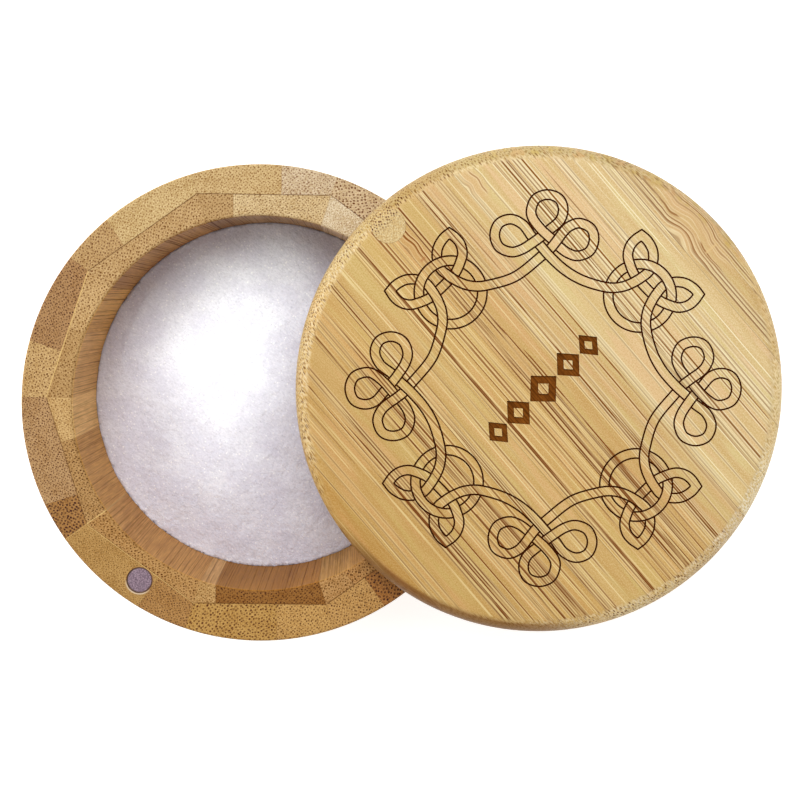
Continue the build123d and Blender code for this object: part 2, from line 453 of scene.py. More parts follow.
# side: on the inner staves this factor also holds painted light and shade on the bowl's wall, darker on stave 3 at the
# upper wall and up to about twice as bright on the lower walls of staves 5 to 9
INNER = {
    1: dict(slats=[slat((210, 176, 119), dark=(109, 66, 29), space=0.57, size=0.25, k=0.85, side=(1.4, 1.2, 0.95))]),
    2: dict(slats=[slat((219, 199, 164), dark=(152, 111, 74), space=0.45, size=0.25, k=0.64, side=(1.10, 0.98, 0.88))]),
    3: dict(
        slats=[
            slat((211, 183, 135), dark=(119, 80, 45), space=0.53, size=0.25, k=0.86, side=(0.80, 0.64, 0.52), lines=1.3),
            slat((187, 152, 103), dark=(109, 68, 34), space=0.57, size=0.24, k=0.91, side=(0.84, 0.68, 0.54), lines=1.4),
        ],
        cuts=(5.7,),
    ),
    4: dict(slats=[slat((194, 159, 109), dark=(107, 62, 26), space=0.58, size=0.25, k=0.92, side=(1.27, 1.04, 0.76), lines=1.7)]),
    5: dict(
        slats=[
            slat((197, 161, 110), dark=(106, 64, 27), space=0.59, size=0.25, k=0.95, side=(1.69, 1.48, 0.97), lines=2.04),
            slat((182, 145, 95), dark=(104, 63, 28), space=0.58, size=0.24, k=0.9, side=(2.18, 2.11, 1.85), lines=1.08),
        ],
        cuts=(-1.2,),
    ),
    6: dict(
        slats=[
            slat((201, 164, 109), dark=(118, 76, 36), space=0.55, size=0.23, k=0.83, side=(2.07, 2.07, 1.92), lines=0.66),
            slat((180, 140, 89), dark=(87, 49, 20), space=0.52, size=0.25, k=1.0, side=(2.06, 1.98, 1.6), lines=0.78),
        ],
        cuts=(-3.6,),
    ),
    7: dict(slats=[slat((183, 140, 86), dark=(94, 53, 20), space=0.55, size=0.25, k=1.0, side=(1.86, 1.81, 1.65), lines=0.96)]),
    8: dict(
        slats=[
            slat((192, 152, 97), dark=(104, 67, 31), space=0.51, size=0.23, k=0.87, side=(1.77, 1.78, 1.94), lines=0.96),
            slat((148, 101, 52), dark=(65, 34, 12), space=0.56, size=0.26, k=0.89, side=(1.93, 2.07, 1.89)),
        ],
        cuts=(-8.3,),
    ),
    9: dict(
        slats=[
            slat((187, 143, 90), dark=(95, 59, 25), space=0.53, size=0.25, k=0.94, side=(1.45, 1.49, 1.27), lines=1.08),
            slat((185, 138, 84), dark=(84, 48, 19), space=0.58, size=0.27, k=1.0, side=(1.5, 1.58, 1.42)),
        ],
        cuts=(-6.0,),
    ),
    10: dict(slats=[slat((210, 176, 119), dark=(109, 66, 29), space=0.57, size=0.25, k=0.85, side=(1.4, 1.2, 0.95))]),
}
GLUE_OUT = {3: dict(low=("pale", 0.3)), 5: dict(ply=("pale", 0.8, 0.16)), 6: dict(ply=("dark", 0.6), high=("pale", 0.4)), 7: dict(ply=("pale", 0.75, 0.15), low=("pale", 0.4))}
GLUE_IN = {5: dict(ply=("pale", 0.6, 0.13)), 6: dict(high=("pale", 0.75, 0.14)), 7: dict(low=("pale", 0.75, 0.14)), 8: dict(low=("pale", 0.3))}

for k in range(1, 11):
    for table, node, glue, gloss in ((OUTER, "outer_stave", GLUE_OUT, 0.13), (INNER, "inner_stave", GLUE_IN, 0.06)):
        spec = table[k]
        mat = stave_bamboo(f"bamboo_{node}_{k:02d}", k, spec["slats"], spec.get("cuts", ()), glue.get(k), seed=k * 3.1 + (0.0 if table is OUTER else 1.7), gloss=gloss)
        o = NODES[f"{node}_{k:02d}"]
        o.data.materials.clear()
        o.data.materials.append(mat)


def disc_bamboo(name, pale, dark, space, size, k, centre=(0.0, 0.0), joints=(), seed=0.0, shade=None):
    """A turned disc or pin with upright grain."""
    t = Tree(name)
    p = t.place()
    rel = t.v("SUBTRACT", p, (centre[0], centre[1], 0.0))
    sep = t.node("ShaderNodeSeparateXYZ", {0: rel})
    a, b, g = sep.outputs[0], sep.outputs[1], sep.outputs[2]
    w1 = t.noise(t.xyz(t.m("MULTIPLY", a, 0.13), t.m("MULTIPLY", b, 0.13), t.m("MULTIPLY_ADD", g, 0.035, seed)), 1.0, 1.0, 0.5, out="Color")
    w = t.scale(t.v("SUBTRACT", w1, (0.5, 0.5, 0.5)), 1.2)
    ws = t.node("ShaderNodeSeparateXYZ", {0: w})
    off = piecewise(t, a, joints, [seed + 23.9 * i for i in range(len(joints) + 1)])
    aw = t.m("ADD", t.m("ADD", a, off), ws.outputs[0])
    bw = t.m("ADD", b, ws.outputs[1])
    qa = t.m("DIVIDE", t.m("ADD", aw, bw), space * 1.32)
    qb = t.m("DIVIDE", t.m("SUBTRACT", aw, bw), space * 1.52)
    cell = t.voronoi(t.xyz(qa, qb, 0.0), 1.0, 0.6)
    cs = t.node("ShaderNodeSeparateColor", {0: cell.outputs["Color"]})
    grow = t.m("MULTIPLY_ADD", cs.outputs[0], 0.10, size - 0.05)
    dots = t.step(cell.outputs["Distance"], t.m("ADD", grow, 0.06), t.m("ADD", grow, -0.06))
    dots = t.m("MULTIPLY", dots, t.m("MULTIPLY_ADD", cs.outputs[1], 0.5 * k, 0.5 * k))
    tone = wood(*pale)
    deep = wood(*[c * f for c, f in zip(pale, (0.93, 0.90, 0.85))])
    blotch = t.noise(t.xyz(t.m("MULTIPLY", aw, 0.2), t.m("MULTIPLY", bw, 0.2), t.m("MULTIPLY", g, 0.02)), 1.0, 3.0, 0.55)
    ground = t.mix(t.step(blotch, 0.38, 0.66), tone, deep)
    slabs = piecewise(t, a, joints, [0.0 if i % 2 else 0.6 for i in range(len(joints) + 1)])
    ground = t.mix(slabs, ground, deep)
    pith = t.noise(t.xyz(t.m("MULTIPLY", aw, 4.6), t.m("MULTIPLY", bw, 4.6), t.m("MULTIPLY", g, 0.4)), 1.0, 2.0, 0.65)
    ground = t.mix(t.step(pith, 0.5, 0.72, 0.0, 0.5), ground, wood(236, 208, 156))
    ground = t.mix(t.step(pith, 0.48, 0.3, 0.0, 0.35), ground, t.mix(0.5, deep, wood(*dark)))
    if shade is not None:
        ground, dots = shade(t, rel, ground, dots)
    col = t.mix(dots, ground, wood(*dark))
    for j in joints:
        line = t.step(t.m("ABSOLUTE", t.m("SUBTRACT", a, j)), 0.12, 0.03)
        col = t.mix(t.m("MULTIPLY", line, 0.5), col, wood(96, 60, 26))
    rough = t.m("ADD", t.m("MULTIPLY_ADD", pith, 0.14, 0.46), t.m("MULTIPLY", dots, 0.14))
    height = t.m("ADD", t.m("MULTIPLY", dots, -1.0), t.m("MULTIPLY", pith, 0.6))
    return t.finish(col, rough, t.bump(height, 0.05, 0.5), specular=0.2)


def dowel_shade(t, rel, ground, dots):
    """The pin is dotted and browner towards the lid's edge, with a thin fit line round it. The browner tone there is
    painted shade, where the pin's end slopes with the lid's turned edge.
    """
    out = (PIVOT[0] - LID_C[0], PIVOT[1] - LID_C[1])
    n = math.hypot(*out)
    d = t.dot(rel, (out[0] / n, out[1] / n, 0.0))
    # painted shade: browner towards the lid's edge, where the pin's end slopes away from the light
    ground = t.mix(t.step(d, 0.2, 2.6, 0.0, 0.35), ground, wood(186, 148, 86))
    speck = t.noise(rel, 4.4, 2.0, 0.7)
    ground = t.mix(t.step(speck, 0.5, 0.64, 0.0, 0.7), ground, wood(240, 222, 176))
    ground = t.mix(t.step(speck, 0.5, 0.36, 0.0, 0.6), ground, wood(196, 160, 104))
    dots = t.m("MULTIPLY", dots, t.step(d, -0.5, 1.3, 0.25, 1.0))
    flat = t.v("MULTIPLY", rel, (1.0, 1.0, 0.0))
    r = t.v("LENGTH", flat, out="Value")
    fit = t.m("MULTIPLY", t.step(r, DOWEL_R - 0.15, DOWEL_R - 0.02, 0.0, 0.3), t.step(d, 1.5, -1.5, 0.2, 1.0))
    return t.mix(fit, ground, wood(124, 88, 46)), dots


NODES["base_disc"].data.materials.clear()
NODES["base_disc"].data.materials.append(disc_bamboo("bamboo_base", (214, 178, 120), (128, 82, 40), 0.82, 0.24, 0.8, joints=(-22.4, -0.6, 23.1), seed=4.0))
NODES["pivot_dowel"].data.materials.clear()
NODES["pivot_dowel"].data.materials.append(disc_bamboo("bamboo_dowel", (226, 200, 146), (96, 54, 24), 0.53, 0.28, 1.0, centre=PIVOT, seed=9.0, shade=dowel_shade))

# ---------------------------------------------------------------- lid strips' bamboo
# pale tone of each strip, how wide its dense, lined zone is (share of the width
# from its lower glue line), how strong the lines are, and the dots on its cut ends
# the pale tones rise from strip 1 to strips 9 to 11: partly the strips' own tones, partly painted sheen where the lid's
# top catches a reflection of the key light
STRIPS = {
    1: dict(pale=(197, 157, 94), dense=0.5, lines=0.9, ends=0.9),
    2: dict(pale=(204, 167, 105), dense=0.18, lines=0.62, ends=1.0),
    3: dict(pale=(206, 170, 109), dense=0.42, lines=1.01, ends=0.8),
    4: dict(pale=(210, 173, 110), dense=0.62, lines=0.95, ends=0.9),
    5: dict(pale=(213, 179, 118), dense=0.16, lines=1.06, ends=1.0),
    6: dict(pale=(214, 178, 116), dense=0.26, lines=1.01, ends=1.0),
    7: dict(pale=(211, 175, 115), dense=0.52, lines=1.06, ends=1.0),
    8: dict(pale=(216, 183, 127), dense=0.22, lines=0.95, ends=0.8),
    9: dict(pale=(224, 196, 141), dense=0.12, lines=0.67, ends=0.65),
    10: dict(pale=(226, 198, 144), dense=0.45, lines=0.95, ends=0.6),
    11: dict(pale=(227, 200, 148), dense=0.2, lines=0.62, ends=0.55),
    12: dict(pale=(218, 188, 134), dense=0.35, lines=0.78, ends=0.7),
}
# where a node of the cane shows: middle along the strip and half length, mm, middle
# across it as a share, half width, how far the fibres bulge, and where its short
# cross line lies (None for none)
NODE_MARKS = {12: (3.6, 10.0, 0.50, 3.4, 1.1, -0.6), 7: (34.4, 4.5, 0.16, 1.5, 0.35, 31.9), 9: (36.0, 3.6, 0.27, 1.8, 0.4, None)}


LID_GLOSS = 0.13
LID_SHEEN = 0.13 * LID_GLOSS


def lid_bamboo(n):
    """A strip of the lid: thin straight fibres along it, closer and darker by its lower
    glue line, and the same bundles as dots where the turned edge cuts across them."""
    spec = STRIPS[n]
    t = Tree(f"bamboo_lid_strip_{n:02d}")
    p = t.place()
    lo = STRIP_FIRST + STRIP_W * (n - 2)
    rel = t.v("SUBTRACT", p, (LID_C[0], LID_C[1], TOTAL_H))
    u = t.dot(rel, (E_U[0], E_U[1], 0.0))
    g = t.dot(rel, (E_V[0], E_V[1], 0.0))
    sep = t.node("ShaderNodeSeparateXYZ", {0: rel})
    z = sep.outputs[2]
    s = t.m("DIVIDE", t.m("SUBTRACT", u, lo), STRIP_W)          # 0 to 1 across the strip
    seed = n * 13.7
    # fibres wander a little, run out of the face and come back
    w1 = t.noise(t.xyz(t.m("MULTIPLY", u, 0.07), t.m("MULTIPLY", z, 0.07), t.m("MULTIPLY_ADD", g, 0.018, seed)), 1.0, 1.0, 0.5, out="Color")
    ws = t.node("ShaderNodeSeparateXYZ", {0: t.v("SUBTRACT", w1, (0.5, 0.5, 0.5))})
    lean = 0.004 * math.sin(n * 2.3)
    uw = t.m("ADD", u, t.m("ADD", t.m("MULTIPLY_ADD", g, lean, seed), t.m("MULTIPLY", ws.outputs[0], 0.7)))
    knot = None
    if n in NODE_MARKS:
        at, long, mid, wide, bulge, bar_at = NODE_MARKS[n]
        along = t.m("DIVIDE", t.m("SUBTRACT", g, at), long)
        over = t.m("MULTIPLY", t.m("SUBTRACT", s, mid), STRIP_W / wide)
        reach = t.m("ADD", t.m("MULTIPLY", along, along), t.m("MULTIPLY", over, over))
        knot = t.step(reach, 1.3, 0.15)
        swell = t.step(t.m("ABSOLUTE", t.m("SUBTRACT", along, 0.12)), 0.5, 0.0)
        ripple = t.noise(t.xyz(t.m("MULTIPLY", u, 0.3), 0.0, t.m("MULTIPLY", g, 0.26)), 1.0, 1.0, 0.5)
        push = t.m("ADD", t.m("MULTIPLY", swell, bulge), t.m("MULTIPLY", t.m("SUBTRACT", ripple, 0.5), bulge * 0.9))
        uw = t.m("SUBTRACT", uw, t.m("MULTIPLY", t.step(reach, 1.6, 0.3), push))
    zw = t.m("ADD", z, t.m("ADD", t.m("MULTIPLY", g, 0.012 + 0.006 * math.cos(n * 1.7)), t.m("MULTIPLY", ws.outputs[1], 1.0)))

    def bundles(space, size, soft, rand):
        qa = t.m("DIVIDE", t.m("ADD", uw, zw), space * 1.32)
        qb = t.m("DIVIDE", t.m("SUBTRACT", uw, zw), space * 1.52)
        cell = t.voronoi(t.xyz(qa, qb, 0.0), 1.0, rand)
        cs = t.node("ShaderNodeSeparateColor", {0: cell.outputs["Color"]})
        grow = t.m("MULTIPLY_ADD", cs.outputs[0], 0.10, size - 0.05)
        far = cell.outputs["Distance"]
        ring = t.m("MULTIPLY", t.step(far, t.m("ADD", grow, 0.05), t.m("ADD", grow, 0.13)), t.step(far, t.m("ADD", grow, 0.34), t.m("ADD", grow, 0.2)))
        return t.step(far, t.m("ADD", grow, soft), t.m("ADD", grow, -soft)), cs, ring

    def threads(space, half, tall, off):
        """Thin lines about space mm apart, each one a cell with its own random numbers."""
        q = t.xyz(t.m("DIVIDE", t.m("ADD", uw, off), space), t.m("DIVIDE", zw, space * tall), 0.0)
        cell = t.voronoi(q, 1.0, 1.0)
        cs = t.node("ShaderNodeSeparateColor", {0: cell.outputs["Color"]})
        apart = t.node("ShaderNodeSeparateXYZ", {0: t.v("SUBTRACT", cell.outputs["Position"], q)})
        far = t.m("ABSOLUTE", apart.outputs[0])
        return t.step(far, half * 1.3, half * 0.7), cs, t.step(far, half * 2.9, half * 1.9)

    geo = t.node("ShaderNodeNewGeometry")
    # how much the surface cuts across the grain; the grain's own direction turns with the lid
    tr = t.node("ShaderNodeVectorTransform", {0: geo.outputs["Normal"]}, vector_type="NORMAL", convert_from="WORLD", convert_to="OBJECT")
    across = t.m("ABSOLUTE", t.dot(tr.outputs[0], (E_V[0], E_V[1], 0.0)))
    # the sides of the outer strips show the same bundles cut lengthways
    flank = t.m("ABSOLUTE", t.dot(tr.outputs[0], (E_U[0], E_U[1], 0.0)))
    end = t.m("MAXIMUM", t.step(across, 0.07, 0.26), t.step(flank, 0.62, 0.9))

    dense = t.step(s, spec["dense"] + 0.12, max(0.02, spec["dense"] - 0.08))
    run = t.noise(t.xyz(t.m("MULTIPLY", uw, 2.2), t.m("MULTIPLY", zw, 1.7), t.m("MULTIPLY", g, 0.06)), 1.0, 2.0, 0.6)
    drift = t.noise(t.xyz(t.m("MULTIPLY", uw, 0.42), t.m("MULTIPLY", zw, 0.3), t.m("MULTIPLY_ADD", g, 0.008, 4.0)), 1.0, 2.0, 0.6)
    cluster = t.step(drift, 0.44, 0.6)
    if knot is not None:
        cluster = t.m("MAXIMUM", cluster, knot)
    weight = t.m("ADD", t.m("MULTIPLY", dense, 0.42), t.m("MULTIPLY", cluster, 0.24))
    fine, fc, fine_side = threads(0.62, 0.225, 1.3, 0.0)
    bold, bc, bold_side = threads(1.45, 0.106, 1.2, 57.0)
    glow, gc, _ = threads(0.85, 0.10, 1.3, 91.0)
    keep = t.step(t.m("ADD", fc.outputs[1], weight), 0.82, 0.95)
    fine = t.m("MULTIPLY", t.m("MULTIPLY", fine, keep), t.m("MULTIPLY_ADD", fc.outputs[0], 0.6, 0.5))
    fine_side = t.m("MULTIPLY", fine_side, keep)
    keep = t.step(t.m("ADD", bc.outputs[1], weight), 0.84, 0.94)
    bold = t.m("MULTIPLY", t.m("MULTIPLY", bold, keep), t.m("MULTIPLY_ADD", bc.outputs[0], 0.25, 0.9))
    bold_side = t.m("MULTIPLY", bold_side, keep)
    fade = t.step(run, 0.34, 0.52, 0.3, 1.0)
    lines = t.m("MULTIPLY", t.m("MULTIPLY", t.m("MAXIMUM", fine, bold), spec["lines"]), fade)
    glow = t.m("MULTIPLY", glow, t.step(t.m("ADD", gc.outputs[1], t.m("MULTIPLY", cluster, 0.3)), 0.72, 0.9, 0.0, 1.0))
    glow = t.m("MAXIMUM", glow, t.m("MULTIPLY", t.m("MAXIMUM", fine_side, bold_side), 0.7))
    glow = t.m("MULTIPLY", glow, fade)
    spot, sc, ring = bundles(0.40 if n < 5 else 0.47, 0.27, 0.08, 0.7)
    strewn = t.noise(t.xyz(t.m("MULTIPLY", uw, 0.5), t.m("MULTIPLY", zw, 0.5), t.m("MULTIPLY", g, 0.16)), 1.0, 2.0, 0.6)
    spots = t.m("MULTIPLY", spot, t.m("MULTIPLY_ADD", sc.outputs[1], 0.65, 0.4))
    spots = t.m("MULTIPLY", spots, t.step(strewn, 0.38, 0.52, 0.3 * spec["ends"], spec["ends"]))
    if n > 8 or n < 4:
        spots = t.m("MULTIPLY", spots, t.step(g, 4.0, -4.0, 1.0, 0.5))
    mark = t.m("ADD", t.m("MULTIPLY", lines, t.m("SUBTRACT", 1.0, end)), t.m("MULTIPLY", spots, end))

    def tone(*f):
        return wood(*[min(252, c * k) for c, k in zip(spec["pale"], f)], LID_SHEEN)

    pale, deep, light = tone(1, 1, 1), tone(0.95, 0.92, 0.87), tone(1.045, 1.07, 1.14)
    broad = t.noise(t.xyz(t.m("MULTIPLY", uw, 0.42), t.m("MULTIPLY", zw, 0.42), t.m("MULTIPLY", g, 0.012)), 1.0, 3.0, 0.55)
    ground = t.mix(t.step(broad, 0.36, 0.64), pale, deep)
    hue = t.noise(t.xyz(t.m("MULTIPLY_ADD", uw, 0.34, 5.0), t.m("MULTIPLY", zw, 0.3), t.m("MULTIPLY", g, 0.035)), 1.0, 2.0, 0.6)
    ground = t.mix(t.step(hue, 0.52, 0.62, 0.0, 0.8), ground, tone(1.03, 0.985, 1.04))
    ground = t.mix(t.step(hue, 0.48, 0.38, 0.0, 0.8), ground, tone(0.99, 1.03, 1.0))
    fibre = t.noise(t.xyz(t.m("MULTIPLY", uw, 4.6), t.m("MULTIPLY", zw, 4.6), t.m("MULTIPLY", g, 0.07)), 1.0, 2.0, 0.6)
    ground = t.mix(t.step(fibre, 0.34, 0.5, 0.35, 0.0), ground, light)
    ground = t.mix(t.step(fibre, 0.5, 0.68, 0.0, 0.22), ground, tone(0.88, 0.82, 0.7))
    ground = t.mix(t.m("MULTIPLY", dense, 0.3), ground, deep)
    mottle = t.noise(rel, 4.0, 2.0, 0.7)
    ground = t.mix(t.step(mottle, 0.5, 0.64, 0.0, 0.7), ground, light)
    ground = t.mix(t.step(mottle, 0.5, 0.36, 0.0, 0.6), ground, tone(0.91, 0.87, 0.75))
    ground = t.mix(t.m("MULTIPLY", glow, t.m("SUBTRACT", 1.0, end)), ground, tone(1.11, 1.19, 1.33))
    if knot is not None:
        ground = t.mix(t.m("MULTIPLY", knot, 0.4), ground, tone(1.0, 0.94, 0.96))
    # the turned edge shows the bundles cut across on a lighter, speckled ground;
    # painted light makes it paler on some sides and painted shade darker on one
    def towards(deg, lo, hi):
        """1 on the side of the lid that looks deg, 0 away from it."""
        d = t.dot(t.scale(rel, 1.0 / 43.0), (math.cos(math.radians(deg)), math.sin(math.radians(deg)), 0.0))
        return t.step(d, lo, hi)

    speck = t.noise(t.xyz(t.m("MULTIPLY", uw, 4.0), t.m("MULTIPLY", zw, 4.0), t.m("MULTIPLY", g, 0.6)), 1.0, 2.0, 0.7)
    # painted light: paler, bluer ground and lighter specks on the two sides of the edge that look 203° and -18°
    painted_lit_sides = t.m("MAXIMUM", towards(203, 0.70, 0.9), towards(-18, 0.70, 0.9))
    ground = t.mix(t.m("MULTIPLY", end, t.step(speck, 0.46, 0.6, 0.15, 0.95)), ground, t.mix(painted_lit_sides, tone(1.03, 1.05, 1.1), tone(1.13, 1.24, 1.55)))
    ground = t.mix(t.m("MULTIPLY", end, t.step(speck, 0.5, 0.38, 0.0, 0.7)), ground, t.mix(painted_lit_sides, tone(0.86, 0.8, 0.6), tone(0.97, 0.95, 0.86)))
    ground = t.mix(t.m("MULTIPLY", t.m("MULTIPLY", end, ring), 0.4), ground, tone(1.08, 1.15, 1.3))
    turned = t.step(t.up(), 0.985, 0.86)
    ground = t.mix(t.m("MULTIPLY", turned, towards(142, 0.60, 0.95)), ground, t.mix(1.0, ground, (0.78, 0.76, 0.67, 1.0), "MULTIPLY"))
    moss = t.noise(t.xyz(t.m("MULTIPLY", u, 0.5), t.m("MULTIPLY", g, 0.3), 3.0), 1.0, 2.0, 0.6)
    mossy = t.m("MULTIPLY", t.m("MULTIPLY", turned, t.step(t.up(), 0.1, 0.4)), towards(102, 0.72, 0.9))
    ground = t.mix(t.m("MULTIPLY", mossy, t.step(moss, 0.5, 0.6, 0.0, 0.6)), ground, tone(0.94, 0.93, 0.75))
    ground = t.mix(t.m("MULTIPLY", mossy, t.step(moss, 0.44, 0.38, 0.0, 0.4)), ground, tone(0.97, 0.87, 0.83))
    # painted shade: the side of the edge that looks -76° is darkened
    painted_shade_side = t.m("MULTIPLY", turned, towards(-76, 0.80, 0.96))
    ground = t.mix(painted_shade_side, ground, t.mix(1.0, ground, (0.48, 0.37, 0.30, 1.0), "MULTIPLY"))
    # painted light: paler on the side of the edge that looks 40°
    ground = t.mix(t.m("MULTIPLY", turned, towards(40, 0.72, 0.94)), ground, t.mix(1.0, ground, (1.12, 1.1, 1.05, 1.0), "MULTIPLY"))
    if n == 1:
        low = t.m("MULTIPLY", turned, t.step(g, 2.0, -8.0))
        ground = t.mix(low, ground, t.mix(1.0, ground, (0.95, 0.92, 0.85, 1.0), "MULTIPLY"))
    dark = t.mix(t.m("MULTIPLY_ADD", dense, 0.5, 0.15), tone(0.68, 0.51, 0.06), tone(0.57, 0.41, 0.04))
    if knot is not None:
        dark = t.mix(t.m("MULTIPLY", knot, 0.85), dark, tone(0.70, 0.52, 0.30))
    dark = t.mix(end, dark, tone(0.50, 0.37, 0.12))
    col = t.mix(mark, ground, dark)
    if knot is not None and bar_at is not None:
        bar = t.m("MULTIPLY", t.step(t.m("ABSOLUTE", t.m("SUBTRACT", g, bar_at)), 0.32, 0.08), t.step(t.m("ABSOLUTE", over), 0.42, 0.3))
        col = t.mix(t.m("MULTIPLY", bar, 0.6), col, tone(1.06, 1.05, 1.05) if n == 12 else tone(0.86, 0.68, 0.62))
    # glue films at both edges of the strip
    for dist, amount in ((t.m("MULTIPLY", s, STRIP_W), 0.5), (t.m("MULTIPLY", t.m("SUBTRACT", 1.0, s), STRIP_W), 0.3)):
        col = t.mix(t.step(dist, 0.10, 0.03, 0.0, amount), col, wood(110, 72, 26, LID_SHEEN))
    # the fit line round the dowel
    if n in (6, 7):
        pin = t.v("LENGTH", t.v("MULTIPLY", t.v("SUBTRACT", p, (PIVOT[0], PIVOT[1], 0.0)), (1.0, 1.0, 0.0)), out="Value")
        col = t.mix(t.step(pin, DOWEL_R + 0.14, DOWEL_R + 0.03, 0.0, 0.2), col, wood(124, 88, 46, LID_SHEEN))
    rough = t.m("ADD", t.m("MULTIPLY_ADD", fibre, 0.12, 0.40), t.m("MULTIPLY", mark, 0.12))
    height = t.m("ADD", t.m("MULTIPLY", mark, -1.0), t.m("MULTIPLY_ADD", fibre, 0.5, t.m("MULTIPLY", mottle, 0.3)))
    return t.finish(col, rough, t.bump(height, 0.04, 0.45), specular=LID_GLOSS)


LID_MATS = {n: lid_bamboo(n) for n in range(1, 13)}


def burn(name, floor, wall, streak):
    """Laser-burnt wood inside an engraved groove."""
    t = Tree(name)
    p = t.place()
    rel = t.v("SUBTRACT", p, (LID_C[0], LID_C[1], TOTAL_H))
    u = t.dot(rel, (E_U[0], E_U[1], 0.0))
    g = t.dot(rel, (E_V[0], E_V[1], 0.0))
    grain = t.noise(t.xyz(t.m("MULTIPLY", u, 2.6), t.m("MULTIPLY", g, 0.06), 0.0), 1.0, 3.0, 0.6)
    soot = t.noise(rel, 3.0, 3.0, 0.6)
    floor, wall = [tuple(lin(c) / LIGHT for c in v) + (1.0,) for v in (floor, wall)]
    col = t.mix(t.step(grain, 0.38, 0.62, 0.0, streak), floor, wall)
    col = t.mix(t.step(soot, 0.4, 0.7, 0.0, 0.3), col, wall)
    # the upright walls of a groove take the wall colour; in the deep inlay that darker colour is charring and also
    # painted shade along the recess's edges
    flat = t.step(t.up(), 0.3, 0.7)
    col = t.mix(flat, wall, col)
    return t.finish(col, t.m("MULTIPLY_ADD", soot, 0.15, 0.72), t.bump(t.m("ADD", grain, soot), 0.05, 0.5), specular=0.02)


BURN_LINE = burn("burnt_line", (62, 18, 0), (84, 40, 0), 0.3)
BURN_DEEP = burn("burnt_inlay", (142, 82, 26), (74, 34, 4), 0.7)

# ---------------------------------------------------------------- the engraved ornament
# Centre line of the interlaced band, in sixtieths of the ring (U right, V towards the
# lower side of the lid), with +1 where it passes over and -1 where it passes under.
K = 1.0 / 5.525                     # mm for one unit of the tables below
BAND = 9.5 * K                      # between the two outlines of the band
LINE = 0.31                         # width of an engraved line
LINE_DEEP, INLAY_DEEP = 0.25, 0.5

TREFOIL = [
    (-30.0, -111.7, 0), (-3.3, -132.9, -1), (4.8, -139.8, 1), (12.5, -149.6, 1), (17.9, -157.1, 0),
    (23.8, -162.5, 0), (33.3, -165.7, 0), (45.2, -160.6, 0), (48.6, -150.0, 0), (44.2, -137.9, 0),
    (32.5, -133.2, 0), (23.3, -135.6, 0), (13.5, -142.3, -1), (6.3, -149.6, 1), (-5.0, -159.8, 1),
    (-13.6, -171.5, 0), (-14.6, -178.3, 0), (-10.2, -189.3, 0), (1.3, -193.8, 0), (13.2, -189.6, 0),
    (17.3, -179.6, 0), (14.6, -168.8, 0), (3.5, -158.6, -1), (-5.2, -151.3, 1), (-13.8, -145.0, 1),
    (-23.8, -138.8, 0), (-33.8, -136.3, 0), (-46.0, -141.2, 0), (-50.7, -152.9, 0), (-46.6, -164.5, 0),
    (-35.0, -169.0, 0), (-22.9, -163.8, 0), (-13.6, -151.9, -1), (-6.0, -144.2, 1), (3.8, -133.2, 1),
    (20.0, -118.8, 0), (36.0, -109.6, 0),
]
TIP = "tip"
CORNER_HALF = [
    (55.0, -103.5, 0), (66.7, -101.7, 1), (78.0, -103.0, 0), (87.5, -106.7, 1), (97.0, -112.5, 1),
    (104.4, -119.0, -1), (107.9, -128.8, -1), (108.1, -135.2, 0), (107.1, -140.2, 0), (104.2, -146.0, 0),
    (100.4, -150.8, 0), TIP, (96.0, -154.3, 0), (90.2, -150.3, 0), (85.7, -145.2, 0), (83.3, -139.3, 0),
    (82.7, -133.6, 0), (83.9, -128.2, 1), (89.3, -115.3, -1), (96.7, -106.7, -1),
]


def mirror(points):
    return [q if q == TIP else (-q[1], -q[0], q[2]) for q in points]


def half_back(points):
    """Mirrored and walked the other way; the tip marker stays before its own point."""
    out = []
    flipped = mirror(points)
    i = len(flipped) - 1
    while i >= 0:
        if i > 0 and flipped[i - 1] == TIP:
            out += [TIP, flipped[i]]
            i -= 2
        else:
            out.append(flipped[i])
            i -= 1
    return out


CORNER = CORNER_HALF + [(101.6, -101.6, -1)] + half_back(CORNER_HALF)


def quarter(points, n):
    for _ in range(n):
        points = [q if q == TIP else (-q[1], q[0], q[2]) for q in points]
    return points


def ring_path():
    out = []
    for n in range(4):
        tre = TREFOIL if n % 2 == 0 else half_back(TREFOIL)
        # half_back mirrors about the diagonal, which already carries the north trefoil to the east
        out += quarter(tre, n if n % 2 == 0 else n - 1)
        out += quarter(CORNER, n)
    return out


